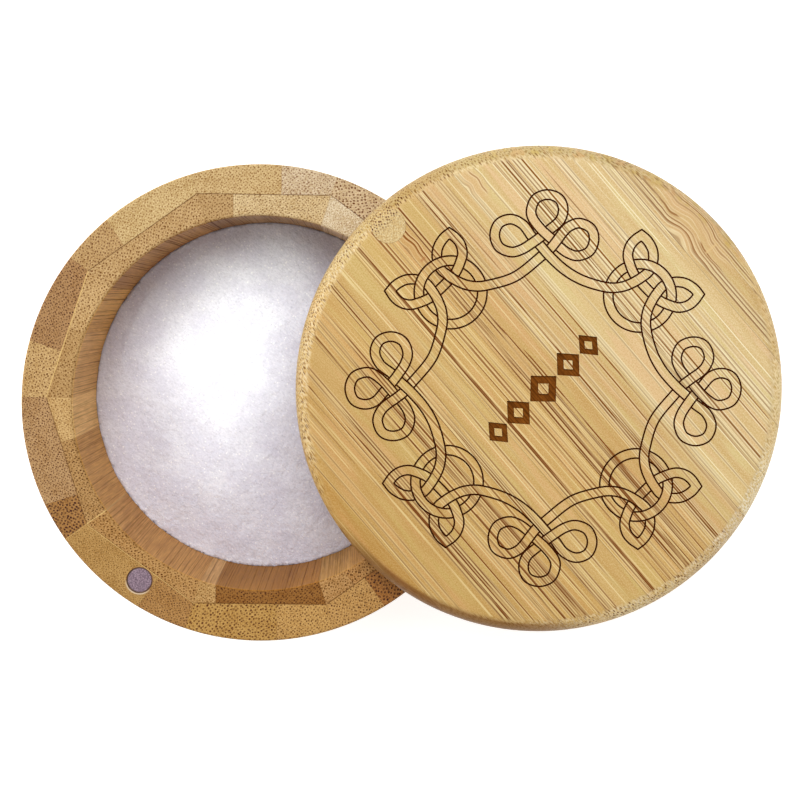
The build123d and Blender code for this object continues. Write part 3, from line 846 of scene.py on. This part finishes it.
def catmull(points, closed=False, step=0.22):
    """Centripetal spline through (x, y, h) points, sampled about every step mm."""
    P = [np.array(q, float) for q in points]
    if closed:
        P = [P[-1]] + P + [P[0], P[1]]
    else:
        P = [2 * P[0] - P[1]] + P + [2 * P[-1] - P[-2]]
    out = []
    for i in range(1, len(P) - 2):
        p0, p1, p2, p3 = P[i - 1], P[i], P[i + 1], P[i + 2]
        t0 = 0.0
        t1 = t0 + max(1e-6, np.linalg.norm((p1 - p0)[:2]) ** 0.5)
        t2 = t1 + max(1e-6, np.linalg.norm((p2 - p1)[:2]) ** 0.5)
        t3 = t2 + max(1e-6, np.linalg.norm((p3 - p2)[:2]) ** 0.5)
        n = max(2, int(math.ceil(np.linalg.norm((p2 - p1)[:2]) / step)))
        for s in range(n):
            t = t1 + (t2 - t1) * s / n
            a1 = (t1 - t) / (t1 - t0) * p0 + (t - t0) / (t1 - t0) * p1
            a2 = (t2 - t) / (t2 - t1) * p1 + (t - t1) / (t2 - t1) * p2
            a3 = (t3 - t) / (t3 - t2) * p2 + (t - t2) / (t3 - t2) * p3
            b1 = (t2 - t) / (t2 - t0) * a1 + (t - t0) / (t2 - t0) * a2
            b2 = (t3 - t) / (t3 - t1) * a2 + (t - t1) / (t3 - t1) * a3
            c = (t2 - t) / (t2 - t1) * b1 + (t - t1) / (t2 - t1) * b2
            c[2] = p1[2] + (p2[2] - p1[2]) * s / n
            out.append(c)
    if not closed:
        out.append(P[-2])
    return np.array(out)


def to_lid(q):
    """Ornament units to the lid's place at rest, mm."""
    a = math.radians(RING_TURN)
    # the laser's field stretched the lower right corner a little
    low, right = min(1.0, max(0.0, q[1] / 160)), min(1.0, max(0.0, q[0] / 96))
    U, V = q[0] + 1.5 * low * right, q[1] + 1.0 * low
    x = RING_C[0] + (U * math.cos(a) + V * math.sin(a)) * K
    y = RING_C[1] + (U * math.sin(a) - V * math.cos(a)) * K
    return (x, y, q[2])


def tangents(P, closed):
    if closed:
        d = np.roll(P, -1, 0) - np.roll(P, 1, 0)
    else:
        d = np.gradient(P, axis=0)
    return d / np.maximum(1e-9, np.linalg.norm(d, axis=1))[:, None]


def band_curves():
    """The arms between tips, and the closed rings, as dicts of sampled centre lines."""
    path = ring_path()
    first = path.index(TIP)
    path = path[first:] + path[:first]
    arms, now = [], []
    for q in path[1:]:
        if q == TIP:
            arms.append(now)
            now = []
        else:
            now.append(q)
    arms.append(now)
    curves = []
    for i, arm in enumerate(arms):
        nxt = arms[(i + 1) % len(arms)][0]
        pts = [to_lid(q) for q in arm + [nxt]]
        curves.append({"P": catmull(pts), "closed": False})
    heights = [(-165, -1), (-110, -1), (-70, 1), (-20, 1), (20, -1), (75, -1), (195, -1)]
    for n in range(4):
        pts = []
        for d in range(0, 360, 10):
            a = d if d < 195 else d - 360
            for (a0, h0), (a1, h1) in zip(heights, heights[1:]):
                if a0 <= a <= a1:
                    h = h0 + (h1 - h0) * (a - a0) / (a1 - a0)
                    break
            else:
                h = -1
            pts.append((95.4 + 31.7 * math.cos(math.radians(d)), -94.0 + 31.7 * math.sin(math.radians(d)), h))
        pts = [to_lid(q) for q in quarter(pts, n)]
        curves.append({"P": catmull(pts, closed=True), "closed": True})
    return curves


def crossings(curves):
    segs, owner = [], []
    for c, curve in enumerate(curves):
        P = curve["P"]
        n = len(P) if curve["closed"] else len(P) - 1
        for i in range(n):
            segs.append((P[i][0], P[i][1], P[(i + 1) % len(P)][0], P[(i + 1) % len(P)][1]))
            owner.append((c, i))
    S = np.array(segs)
    owner = np.array(owner)
    A, B = S[:, None, :2], S[:, None, 2:]
    found = []
    for start in range(0, len(S), 400):
        blk = S[start:start + 400]
        p, r = blk[:, None, :2], (blk[:, 2:] - blk[:, :2])[:, None]
        q, s = S[None, :, :2], (S[:, 2:] - S[:, :2])[None]
        den = r[..., 0] * s[..., 1] - r[..., 1] * s[..., 0]
        den = np.where(np.abs(den) < 1e-12, np.nan, den)
        d = q - p
        with np.errstate(invalid="ignore"):
            t = (d[..., 0] * s[..., 1] - d[..., 1] * s[..., 0]) / den
            w = (d[..., 0] * r[..., 1] - d[..., 1] * r[..., 0]) / den
            hit = (t >= 0) & (t < 1) & (w >= 0) & (w < 1)
        for i, j in zip(*np.nonzero(hit)):
            i += start
            if j <= i:
                continue
            ci, ii = owner[i]
            cj, jj = owner[j]
            if ci == cj and abs(ii - jj) < 6:
                continue
            found.append((ci, ii + t[i - start, j], cj, jj + w[i - start, j]))
    return found


def window(curve, at, reach):
    """Sample numbers of a curve within reach mm of a place on it."""
    P = curve["P"]
    n = len(P)
    step = np.linalg.norm(P[1][:2] - P[0][:2])
    half = int(reach / max(0.05, np.median(np.linalg.norm(np.diff(P[:, :2], axis=0), axis=1))))
    k = int(round(at))
    idx = range(k - half, k + half + 1)
    if curve["closed"]:
        return [i % n for i in idx]
    return [i for i in idx if 0 <= i < n]


def to_line(points, line):
    """Distance from each point to a polyline."""
    a, b = line[:-1], line[1:]
    d = b - a
    L = np.maximum(1e-12, (d * d).sum(1))
    rel = points[:, None] - a[None]
    s = np.clip((rel * d[None]).sum(2) / L[None], 0, 1)
    near = a[None] + s[..., None] * d[None]
    return np.linalg.norm(points[:, None] - near, axis=2).min(1)


def outline_runs():
    """Every visible stretch of the band's two outlines, as lists of points in mm."""
    curves = band_curves()
    for c in curves:
        T = tangents(c["P"][:, :2], c["closed"])
        c["N"] = np.stack([-T[:, 1], T[:, 0]], 1)
        c["side"] = {s: c["P"][:, :2] + s * BAND / 2 * c["N"] for s in (-1, 1)}
        c["show"] = {s: np.full(len(c["P"]), 9.0) for s in (-1, 1)}
    found = crossings(curves)
    for ci, ii, cj, jj in found:
        hi = np.interp(ii, range(len(curves[ci]["P"])), curves[ci]["P"][:, 2])
        hj = np.interp(jj, range(len(curves[cj]["P"])), curves[cj]["P"][:, 2])
        (co, io), (cu, iu) = ((ci, ii), (cj, jj)) if hi > hj else ((cj, jj), (ci, ii))
        over, under = curves[co], curves[cu]
        line = over["P"][window(over, io, 4.0)][:, :2]
        idx = window(under, iu, 3.4)
        for s in (-1, 1):
            d = to_line(under["side"][s][idx], line) - BAND / 2
            under["show"][s][idx] = np.minimum(under["show"][s][idx], d)
    tracks = []
    arms = [c for c in curves if not c["closed"]]
    sides = {}
    for s in (-1, 1):
        ext = []
        for c in arms:
            Q, h = c["side"][s], c["show"][s]
            a = Q[0] - (Q[1] - Q[0]) / np.linalg.norm(Q[1] - Q[0]) * 2.0
            b = Q[-1] + (Q[-1] - Q[-2]) / np.linalg.norm(Q[-1] - Q[-2]) * 2.0
            ext.append((np.vstack([a, Q, b]), np.concatenate([[9.0], h, [9.0]])))
        cut = [[0, None, len(e[0]) - 1, None] for e in ext]
        for i in range(len(ext)):
            j = (i + 1) % len(ext)
            A, B = ext[i][0], ext[j][0]
            best = None
            for m in range(len(A) - 2, max(-1, len(A) - 40), -1):
                for n in range(0, min(len(B) - 1, 40)):
                    x = geometry.intersect_line_line_2d(A[m], A[m + 1], B[n], B[n + 1])
                    if x is not None:
                        away = (len(A) - 2 - m) + n
                        if best is None or away < best[0]:
                            best = (away, m, n, np.array(x))
            if best:
                cut[i][2], cut[i][3] = best[1], best[3]
                cut[j][0], cut[j][1] = best[2] + 1, best[3]
        for i, (Q, h) in enumerate(ext):
            lo, x0, hi, x1 = cut[i]
            pts, show = Q[lo:hi + 1], h[lo:hi + 1]
            if x0 is not None:
                pts, show = np.vstack([x0, pts]), np.concatenate([[9.0], show])
            if x1 is not None:
                pts, show = np.vstack([pts, x1]), np.concatenate([show, [9.0]])
            tracks.append((pts, show, False))
    for c in curves:
        if c["closed"]:
            for s in (-1, 1):
                k = int(np.argmin(c["show"][s]))
                tracks.append((np.roll(c["side"][s], -k, 0), np.roll(c["show"][s], -k), True))
    runs = []
    for pts, show, closed in tracks:
        now = []
        n = len(pts)
        for i in range(n):
            if show[i] >= 0:
                if not now and i > 0 and show[i - 1] < 0:
                    f = show[i - 1] / (show[i - 1] - show[i])
                    x = pts[i - 1] + f * (pts[i] - pts[i - 1])
                    back = pts[i - 1] - pts[i]
                    now = [x + back / np.linalg.norm(back) * LINE * 0.3, x]
                now.append(pts[i])
            elif now:
                f = show[i - 1] / (show[i - 1] - show[i])
                x = pts[i - 1] + f * (pts[i] - pts[i - 1])
                ahead = pts[i] - pts[i - 1]
                now += [x, x + ahead / np.linalg.norm(ahead) * LINE * 0.3]
                runs.append(now)
                now = []
        if now:
            runs.append(now)
    return [np.array(r) for r in runs if len(r) > 2], curves, found


def thin(P, tol=0.006):
    """Drops points that a straight line would pass within tol of."""
    keep = [0]
    i = 0
    while i < len(P) - 1:
        j = min(len(P) - 1, i + 12)
        while j > i + 1:
            if to_line(P[i + 1:j], P[[i, j]]).max() <= tol:
                break
            j -= 1
        keep.append(j)
        i = j
    return P[keep]


def clean(P, least=0.03):
    out = [P[0]]
    for q in P[1:]:
        if np.linalg.norm(q - out[-1]) >= least:
            out.append(q)
    return np.array(out)


def stroke(P, width):
    P = clean(P)
    if len(P) < 2:
        return None
    P = thin(P) if len(P) > 2 else P
    T = tangents(P, False)
    T[0] = (P[1] - P[0]) / np.linalg.norm(P[1] - P[0])
    T[-1] = (P[-1] - P[-2]) / np.linalg.norm(P[-1] - P[-2])
    N = np.stack([-T[:, 1], T[:, 0]], 1) * width / 2
    P = P.copy()
    P[0] -= T[0] * width * 0.15
    P[-1] += T[-1] * width * 0.15
    return P + N, P - N


def lozenges():
    """A plain row of lozenges across the middle of the lid, each with a bare lozenge inside."""
    row = math.radians(80.1)
    d = np.array((math.cos(row), math.sin(row)))
    e = np.array((-d[1], d[0]))
    shapes = [(-11.35, 2.15, 2.6), (-6.25, 2.7, 3.0), (0.0, 3.3, 3.3), (6.25, 2.7, 3.0), (11.35, 2.15, 2.6)]
    out = []
    for s, half_w, half_h in shapes:
        c = np.array(RING_C) + d * s
        for f, kind in ((1.0, 2), (0.4, 3)):
            corners = [(half_w * f, 0), (0, half_h * f), (-half_w * f, 0), (0, -half_h * f)]
            out.append((np.array([c + d * x + e * y for x, y in corners]), kind))
    return out


# ---------------------------------------------------------------- lid strips as engraved meshes
def uv_of(x, y):
    return ((x - LID_C[0]) * E_U[0] + (y - LID_C[1]) * E_U[1], (x - LID_C[0]) * E_V[0] + (y - LID_C[1]) * E_V[1])


def welded(node):
    bm = bmesh.new()
    bm.from_mesh(NODES[node].data)
    bmesh.ops.scale(bm, vec=(1000, 1000, 1000), verts=bm.verts)
    bmesh.ops.remove_doubles(bm, verts=bm.verts, dist=2e-4)
    bmesh.ops.dissolve_degenerate(bm, edges=bm.edges, dist=1e-5)
    return bm


def build_engraved():
    lines = [STRIP_FIRST + STRIP_W * k for k in range(STRIP_LINES)]
    limits = [-999.0] + lines + [999.0]
    blanks = {n: welded(f"lid_strip_{n:02d}") for n in range(1, 13)}
    tol = 2e-3
    edge_pts, edge_pairs = {}, []

    def key(x, y):
        return (round(x, 3), round(y, 3))

    def is_top(f):
        return all(v.co.z > TOTAL_H - 1e-3 for v in f.verts)

    for n, bm in blanks.items():
        for e in bm.edges:
            tops = [f for f in e.link_faces if is_top(f)]
            if len(tops) != 1:
                continue
            a, b = e.verts[0].co, e.verts[1].co
            ua, ub = uv_of(a.x, a.y)[0], uv_of(b.x, b.y)[0]
            if any(abs(ua - c) < tol and abs(ub - c) < tol for c in lines):
                continue
            ka, kb = key(a.x, a.y), key(b.x, b.y)
            edge_pts.setdefault(ka, (a.x, a.y))
            edge_pts.setdefault(kb, (b.x, b.y))
            edge_pairs.append((ka, kb))
    nxt = {}
    for a, b in edge_pairs:
        nxt.setdefault(a, []).append(b)
        nxt.setdefault(b, []).append(a)
    bad = [k for k, v in nxt.items() if len(v) != 2]
    if bad:
        raise RuntimeError(f"the lid's top edge isn't one loop: {len(bad)} {bad[:4]}")
    start = next(iter(nxt))
    loop, prev = [start], None
    while True:
        here = loop[-1]
        step = [k for k in nxt[here] if k != prev]
        prev = here
        if step[0] == start or len(loop) > len(nxt):
            break
        loop.append(step[0])
    verts = [edge_pts[k] for k in loop]
    faces = [list(range(len(verts)))]
    edges = []
    for c in lines:
        ends = [i for i, p in enumerate(verts) if abs(uv_of(*p)[0] - c) < tol]
        if len(ends) != 2:
            raise RuntimeError(f"glue line {c} has {len(ends)} ends")
        edges.append(tuple(ends))
    kinds = [0]
    runs, curves, found = outline_runs()
    for r in runs:
        s = stroke(r, LINE)
        if s is None:
            continue
        # one small face for each step, because a line may come back and meet itself
        base, n = len(verts), len(s[0])
        verts += [tuple(q) for q in s[0]] + [tuple(q) for q in s[1]]
        for i in range(n - 1):
            faces.append([base + i, base + i + 1, base + n + i + 1, base + n + i])
            kinds.append(1)
    for s, kind in lozenges():
        faces.append(list(range(len(verts), len(verts) + len(s))))
        verts += [tuple(q) for q in s]
        kinds.append(kind)

    def turned(f):
        """The face's corners counter-clockwise, which the triangulation needs."""
        area = sum(verts[a][0] * verts[b][1] - verts[b][0] * verts[a][1] for a, b in zip(f, f[1:] + f[:1]))
        return f if area > 0 else f[::-1]

    out_v, out_e, out_f, orig_v, orig_e, orig_f = geometry.delaunay_2d_cdt(
        [Vector(p) for p in verts], edges, [turned(f) for f in faces], 1, 1e-4, True
    )
    print(f"lid top: {len(runs)} lines, {len(found)} crossings, {len(out_f)} triangles")
    depth = {0: 0.0, 1: LINE_DEEP, 2: INLAY_DEEP}
    xy = [tuple(p) for p in out_v]
    level, strip_of = [], []
    for f, of in zip(out_f, orig_f):
        if 0 not in of:
            level.append(None)
            strip_of.append(None)
            continue
        deepest = max(kinds[i] for i in of)
        level.append(0 if deepest == 3 else deepest)       # 3 is bare wood inside an inlay
        cx = sum(xy[i][0] for i in f) / len(f)
        cy = sum(xy[i][1] for i in f) / len(f)
        u = uv_of(cx, cy)[0]
        strip_of.append(sum(1 for c in lines if u > c) + 1)
    by_edge = {}
    for fi, f in enumerate(out_f):
        if level[fi] is None:
            continue
        for a, b in zip(f, f[1:] + f[:1]):
            by_edge.setdefault(frozenset((a, b)), []).append(fi)
    made = {}
    for n, bm in blanks.items():
        mine = [i for i in range(len(out_f)) if strip_of[i] == n]
        lo, hi = limits[n - 1], limits[n]
        planes = [c for c in (lo, hi) if abs(c) < 900]

        def on_plane(f, c):
            return all(abs(uv_of(v.co.x, v.co.y)[0] - c) < tol for v in f.verts)

        gone = [f for f in bm.faces if is_top(f) or any(on_plane(f, c) for c in planes)]
        bmesh.ops.delete(bm, geom=gone, context="FACES_ONLY")
        loose = [e for e in bm.edges if not e.link_faces]
        bmesh.ops.delete(bm, geom=loose, context="EDGES")
        loose = [v for v in bm.verts if not v.link_edges]
        bmesh.ops.delete(bm, geom=loose, context="VERTS")
        near = {}
        for v in bm.verts:
            if v.co.z > TOTAL_H - 1e-3:
                near.setdefault((round(v.co.x, 2), round(v.co.y, 2)), []).append(v)
        cache = {}

        def vert(i, lev):
            if (i, lev) in cache:
                return cache[(i, lev)]
            x, y = xy[i]
            found_v = None
            if lev == 0:
                for dx in (-0.01, 0, 0.01):
                    for dy in (-0.01, 0, 0.01):
                        for w in near.get((round(x + dx, 2), round(y + dy, 2)), []):
                            if abs(w.co.x - x) < 1e-3 and abs(w.co.y - y) < 1e-3:
                                found_v = w
            cache[(i, lev)] = found_v or bm.verts.new((x, y, TOTAL_H - depth[lev]))
            return cache[(i, lev)]

        for fi in mine:
            f = out_f[fi]
            vs = [vert(i, level[fi]) for i in f]
            if len(set(vs)) < 3:
                continue
            try:
                face = bm.faces.new(vs)
            except ValueError:
                continue
            if face.calc_area() > 0:
                face.normal_update()
                if face.normal.z < 0:
                    face.normal_flip()
            face.material_index = level[fi]
            face.tag = True
        chains = {c: [] for c in planes}
        seen = set()
        for fi in mine:
            f = out_f[fi]
            for a, b in zip(f, f[1:] + f[:1]):
                e = frozenset((a, b))
                pair = by_edge[e]
                others = [x for x in pair if x != fi]
                if others and strip_of[others[0]] == n:
                    o = others[0]
                    if level[o] != level[fi] and e not in seen:
                        seen.add(e)
                        la, lb = sorted((level[fi], level[o]))
                        q = [vert(a, la), vert(b, la), vert(b, lb), vert(a, lb)]
                        if len(set(q)) == 4:
                            try:
                                face = bm.faces.new(q)
                                face.material_index = lb
                            except ValueError:
                                pass
                else:
                    for c in planes:
                        if abs(uv_of(*xy[a])[0] - c) < tol and abs(uv_of(*xy[b])[0] - c) < tol:
                            chains[c].append((a, b, level[fi]))
        for c, chain in chains.items():
            segs = []
            marks = {}
            for a, b, lev in chain:
                segs.append((vert(a, lev), vert(b, lev)))
                marks.setdefault(a, set()).add(lev)
                marks.setdefault(b, set()).add(lev)
            for i, levs in marks.items():
                levs = sorted(levs)
                for la, lb in zip(levs, levs[1:]):
                    segs.append((vert(i, la), vert(i, lb)))
            have = {frozenset(s) for s in segs}
            for e in list(bm.edges):
                a, b = e.verts
                if len(e.link_faces) == 1 and frozenset((a, b)) not in have:
                    if abs(uv_of(a.co.x, a.co.y)[0] - c) < tol and abs(uv_of(b.co.x, b.co.y)[0] - c) < tol:
                        if not (a.co.z > TOTAL_H - 1e-3 and b.co.z > TOTAL_H - 1e-3):
                            segs.append((a, b))
                            have.add(frozenset((a, b)))
            step = {}
            for a, b in segs:
                step.setdefault(a, []).append(b)
                step.setdefault(b, []).append(a)
            odd = [v for v, w in step.items() if len(w) != 2]
            if odd:
                print(f"strip {n} plane {c:.2f}: {len(odd)} loose ends", [tuple(round(x, 3) for x in v.co) for v in odd[:4]])
                continue
            todo = set(step)
            while todo:
                first = next(iter(todo))
                ring, prev = [first], None
                while True:
                    here = ring[-1]
                    opts = [v for v in step[here] if v is not prev]
                    prev = here
                    if opts[0] is first or len(ring) > len(step):
                        break
                    ring.append(opts[0])
                todo -= set(ring)
                try:
                    bm.faces.new(ring)
                except ValueError:
                    pass
        bmesh.ops.recalc_face_normals(bm, faces=bm.faces)
        open_edges = [e for e in bm.edges if len(e.link_faces) != 2]
        if open_edges:
            print(f"strip {n}: {len(open_edges)} open edges of {len(bm.edges)}", [[tuple(round(x, 3) for x in v.co) for v in e.verts] for e in open_edges[:2]])
        vol = bm.calc_volume(signed=True)
        if vol < 0:
            bmesh.ops.reverse_faces(bm, faces=bm.faces)
        for f in bm.faces:
            f.smooth = True
        for e in bm.edges:
            if len(e.link_faces) == 2:
                fa, fb = e.link_faces
                if fa.calc_area() > 1e-9 and fb.calc_area() > 1e-9:
                    ang = fa.normal.angle(fb.normal, 0.0)
                    top = sum(1 for f in (fa, fb) if all(v.co.z > TOTAL_H - 1e-3 for v in f.verts))
                    e.smooth = ang < math.radians(28) and top != 1
        bmesh.ops.scale(bm, vec=(MM, MM, MM), verts=bm.verts)
        me = bpy.data.meshes.new(f"engraved_strip_{n:02d}")
        bm.to_mesh(me)
        bm.free()
        for m in (LID_MATS[n], BURN_LINE, BURN_DEEP):
            me.materials.append(m)
        o = bpy.data.objects.new(f"engraved_strip_{n:02d}", me)
        scene.collection.objects.link(o)
        made[n] = (o, any(level[i] for i in mine))
    return made


for n, (piece, cut) in build_engraved().items():
    if cut:
        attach(piece, "lid")
        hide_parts(f"lid_strip_{n:02d}")
    else:
        bpy.data.objects.remove(piece)
        node = NODES[f"lid_strip_{n:02d}"]
        node.data.materials.clear()
        node.data.materials.append(LID_MATS[n])


# ---------------------------------------------------------------- magnets
def magnet_metal(name, centre):
    t = Tree(name)
    p = t.place()
    rel = t.v("MULTIPLY", t.v("SUBTRACT", p, (centre[0], centre[1], 0.0)), (1.0, 1.0, 0.0))
    r = t.v("LENGTH", rel, out="Value")
    grit = t.noise(p, 5.0, 3.0, 0.7)
    wear_and_glint_noise = t.noise(p, 0.9, 2.0, 0.5)
    col = t.mix(t.step(grit, 0.38, 0.62), rgb(84, 68, 80), rgb(152, 130, 142))
    col = t.mix(t.step(wear_and_glint_noise, 0.45, 0.7, 0.0, 0.3), col, rgb(136, 120, 130))
    # painted highlight: a paler ring round the magnet's edge
    col = t.mix(t.step(r, MAGNET_R - 0.22, MAGNET_R - 0.08), col, rgb(176, 158, 150))
    return t.finish(col, t.m("MULTIPLY_ADD", grit, 0.25, 0.34), t.bump(grit, 0.03, 0.6), metallic=0.75, specular=0.5)


for node, centre in (("body_magnet", MAGNET_AT), ("lid_magnet", LID_MAGNET_AT)):
    NODES[node].data.materials.clear()
    NODES[node].data.materials.append(magnet_metal(node + "_nickel", centre))


# ---------------------------------------------------------------- salt
def salt_surface():
    """Fine salt, loosely levelled, as one closed heap that fits the bowl."""
    rng = np.random.default_rng(7)
    step = 0.42
    slope = (WALL_TOP_R - WALL_FLOOR_R) / (BODY_H - MOUTH_EASE - FLOOR_Z)

    def wall(z):
        return WALL_FLOOR_R + slope * (z - FLOOR_Z) - 0.04

    def height(x, y):
        v = Vector((x, y, 0.0))
        h = 0.55 * noise.noise(v * 0.05 + Vector((3.1, 0.7, 0.0)))
        h += 0.30 * noise.noise(v * 0.17 + Vector((9.0, 2.0, 1.0)))
        h += 0.13 * noise.noise(v * 0.55 + Vector((1.0, 7.0, 2.0)))
        h += 0.10 * noise.noise(v * 1.7 + Vector((5.0, 4.0, 3.0)))
        r = math.hypot(x, y)
        h += 0.55 * (1 - (r / 34.0) ** 2)
        return SALT_Z - 0.85 + h

    pts = []
    rows = int(70 / (step * 0.866)) + 2
    for j in range(rows):
        y = -35 + j * step * 0.866
        for i in range(int(70 / step) + 2):
            x = -35 + (i + 0.5 * (j % 2)) * step
            dx, dy = rng.uniform(-0.3, 0.3, 2) * step
            if math.hypot(x + dx, y + dy) < 34.0:
                pts.append((x + dx, y + dy))
    count = 620
    rim = []
    for i in range(count):
        a = 2 * math.pi * i / count
        x, y = 34.3 * math.cos(a), 34.3 * math.sin(a)
        z = height(x, y) + rng.uniform(-0.16, 0.16)
        r = wall(z)
        rim.append((r * math.cos(a), r * math.sin(a), z))
    flat = [Vector(p[:2]) for p in rim] + [Vector(p) for p in pts]
    vs, es, fs, ov, oe, of = geometry.delaunay_2d_cdt(flat, [], [list(range(count))], 1, 1e-6, True)
    print(f"salt: {len(fs)} triangles")
    bm = bmesh.new()
    top = []
    ring = {}
    for k, p in enumerate(vs):
        src = [i for i in ov[k] if i < count]
        if src:
            v = bm.verts.new(rim[src[0]])
            ring[src[0]] = v
        else:
            z = height(p.x, p.y) + float(rng.normal(0, 0.045))
            v = bm.verts.new((p.x, p.y, z))
        top.append(v)
    for f in fs:
        bm.faces.new([top[i] for i in f])
    low = []
    for i in range(count):
        a = 2 * math.pi * i / count
        r = WALL_FLOOR_R - 0.05
        low.append(bm.verts.new((r * math.cos(a), r * math.sin(a), FLOOR_Z)))
    for i in range(count):
        j = (i + 1) % count
        bm.faces.new((ring[i], low[i], low[j], ring[j]))
    bm.faces.new(low)
    bmesh.ops.recalc_face_normals(bm, faces=bm.faces)
    for f in bm.faces:
        f.smooth = len(f.verts) == 3
    bmesh.ops.scale(bm, vec=(MM, MM, MM), verts=bm.verts)
    me = bpy.data.meshes.new("salt_heap")
    bm.to_mesh(me)
    bm.free()
    o = bpy.data.objects.new("salt_heap", me)
    scene.collection.objects.link(o)
    return o


def salt_material():
    t = Tree("fine_salt")
    p = t.place()
    grain = t.voronoi(p, 2.3, 1.0, "3D")
    gc = t.node("ShaderNodeSeparateColor", {0: grain.outputs["Color"]})
    clump = t.noise(p, 0.16, 2.0, 0.5)
    lump = t.noise(p, 0.55, 2.0, 0.5)
    fine = t.noise(t.v("MULTIPLY", p, (1.5, 3.0, 2.4)), 1.0, 3.0, 0.8)
    crystal = t.step(grain.outputs["Distance"], 0.48, 0.24)
    col = t.mix(t.step(clump, 0.38, 0.62), rgb(222, 223, 237), rgb(213, 213, 230))
    col = t.mix(t.step(lump, 0.42, 0.68, 0.0, 0.2), col, rgb(200, 201, 214))
    col = t.mix(t.step(fine, 0.46, 0.64, 0.0, 0.5), col, rgb(192, 193, 208))
    col = t.mix(t.step(fine, 0.46, 0.32, 0.0, 0.35), col, rgb(244, 245, 250))
    col = t.mix(t.m("MULTIPLY", crystal, t.step(gc.outputs[0], 0.86, 0.94, 0.0, 0.6)), col, rgb(252, 252, 255))
    col = t.mix(t.m("MULTIPLY", crystal, t.step(gc.outputs[0], 0.2, 0.1, 0.0, 0.3)), col, rgb(172, 171, 186))
    rough = t.m("MULTIPLY_ADD", gc.outputs[1], 0.5, 0.35)
    h = t.m("ADD", t.m("MULTIPLY", grain.outputs["Distance"], -0.8), t.m("MULTIPLY", fine, 1.2))
    return t.finish(col, rough, t.bump(h, 0.16, 0.6), specular=0.35)


salt = salt_surface()
salt.data.materials.append(salt_material())
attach(salt, "body")
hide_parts("salt_fill")

# ---------------------------------------------------------------- stage and light
def studio_floor():
    me = bpy.data.meshes.new("studio_floor")
    s = 4.0
    me.from_pydata([(-s, -s, 0), (s, -s, 0), (s, s, 0), (-s, s, 0)], [], [(0, 1, 2, 3)])
    o = bpy.data.objects.new("studio_floor", me)
    scene.collection.objects.link(o)
    t = Tree("studio_white")
    t.finish((0.90, 0.90, 0.90, 1.0), 0.9, specular=0.1, Emission_Color=(1.0, 1.0, 1.0, 1.0), Emission_Strength=0.5)
    o.data.materials.append(t.mat)


studio_floor()

world = bpy.data.worlds.new("studio")
world.use_nodes = True
world.node_tree.nodes["Background"].inputs[0].default_value = (1.0, 0.995, 0.99, 1.0)
world.node_tree.nodes["Background"].inputs[1].default_value = 0.72
scene.world = world


def softbox(name, at_mm, aim_mm, size, power, tint=(1.0, 1.0, 1.0)):
    d = bpy.data.lights.new(name, "AREA")
    d.shape = "DISK"
    d.size = size
    d.energy = power
    d.color = tint
    o = bpy.data.objects.new(name, d)
    scene.collection.objects.link(o)
    o.location = Vector(at_mm) * MM
    o.rotation_mode = "QUATERNION"
    o.rotation_quaternion = (Vector(aim_mm) - Vector(at_mm)).to_track_quat("-Z", "Y")
    return o


def image_dir(deg):
    """Row direction of an angle seen in the picture, counter-clockwise from its right."""
    a = math.radians(deg + 36.0)
    return Vector((math.cos(a), math.sin(a), 0.0))


mid = Vector((20.0, 18.0, 40.0))
key = mid + image_dir(102) * 330 + Vector((0, 0, 790))
softbox("key_soft", key, mid, 0.42, 4.5, (1.0, 0.99, 0.975))
side = mid + image_dir(165) * 560 + Vector((0, 0, 215))
softbox("side_soft", side, mid, 0.30, 1.6, (1.0, 0.995, 0.985))


def bowl_light(name, at, across, power, side=180):
    """A soft pool of light on the salt, from a little to the left so that it misses the lid."""
    lamp = bpy.data.lights.new(name, "SPOT")
    lamp.energy = power
    lamp.color = (0.96, 1.0, 0.85)
    lamp.spot_size = 2 * math.atan(across / 700)
    lamp.spot_blend = 1.0
    lamp.shadow_soft_size = 0.003
    o = bpy.data.objects.new(name, lamp)
    scene.collection.objects.link(o)
    aim = Vector((0.0, 0.0, 25.0)) + image_dir(at[0]) * at[1]
    away = image_dir(side) * math.sin(math.radians(11)) + Vector((0, 0, math.cos(math.radians(11))))
    o.location = (aim + away * 700) * MM
    o.rotation_mode = "QUATERNION"
    o.rotation_quaternion = (-away).to_track_quat("-Z", "Y")


bowl_light("bowl_soft", (142, 13.1), 21.9, 5.0)
bowl_light("bowl_mid", (133, 11.1), 14.9, 4.6)
bowl_light("bowl_core", (153, 11.6), 14.9, 5.2)
bowl_light("bowl_low", (228, 15.3), 12.0, 5.4)
bowl_light("bowl_high", (88, 22.1), 12.0, 7.3, 225)
bowl_light("bowl_left", (115, 24.3), 9.0, 4.0, 280)
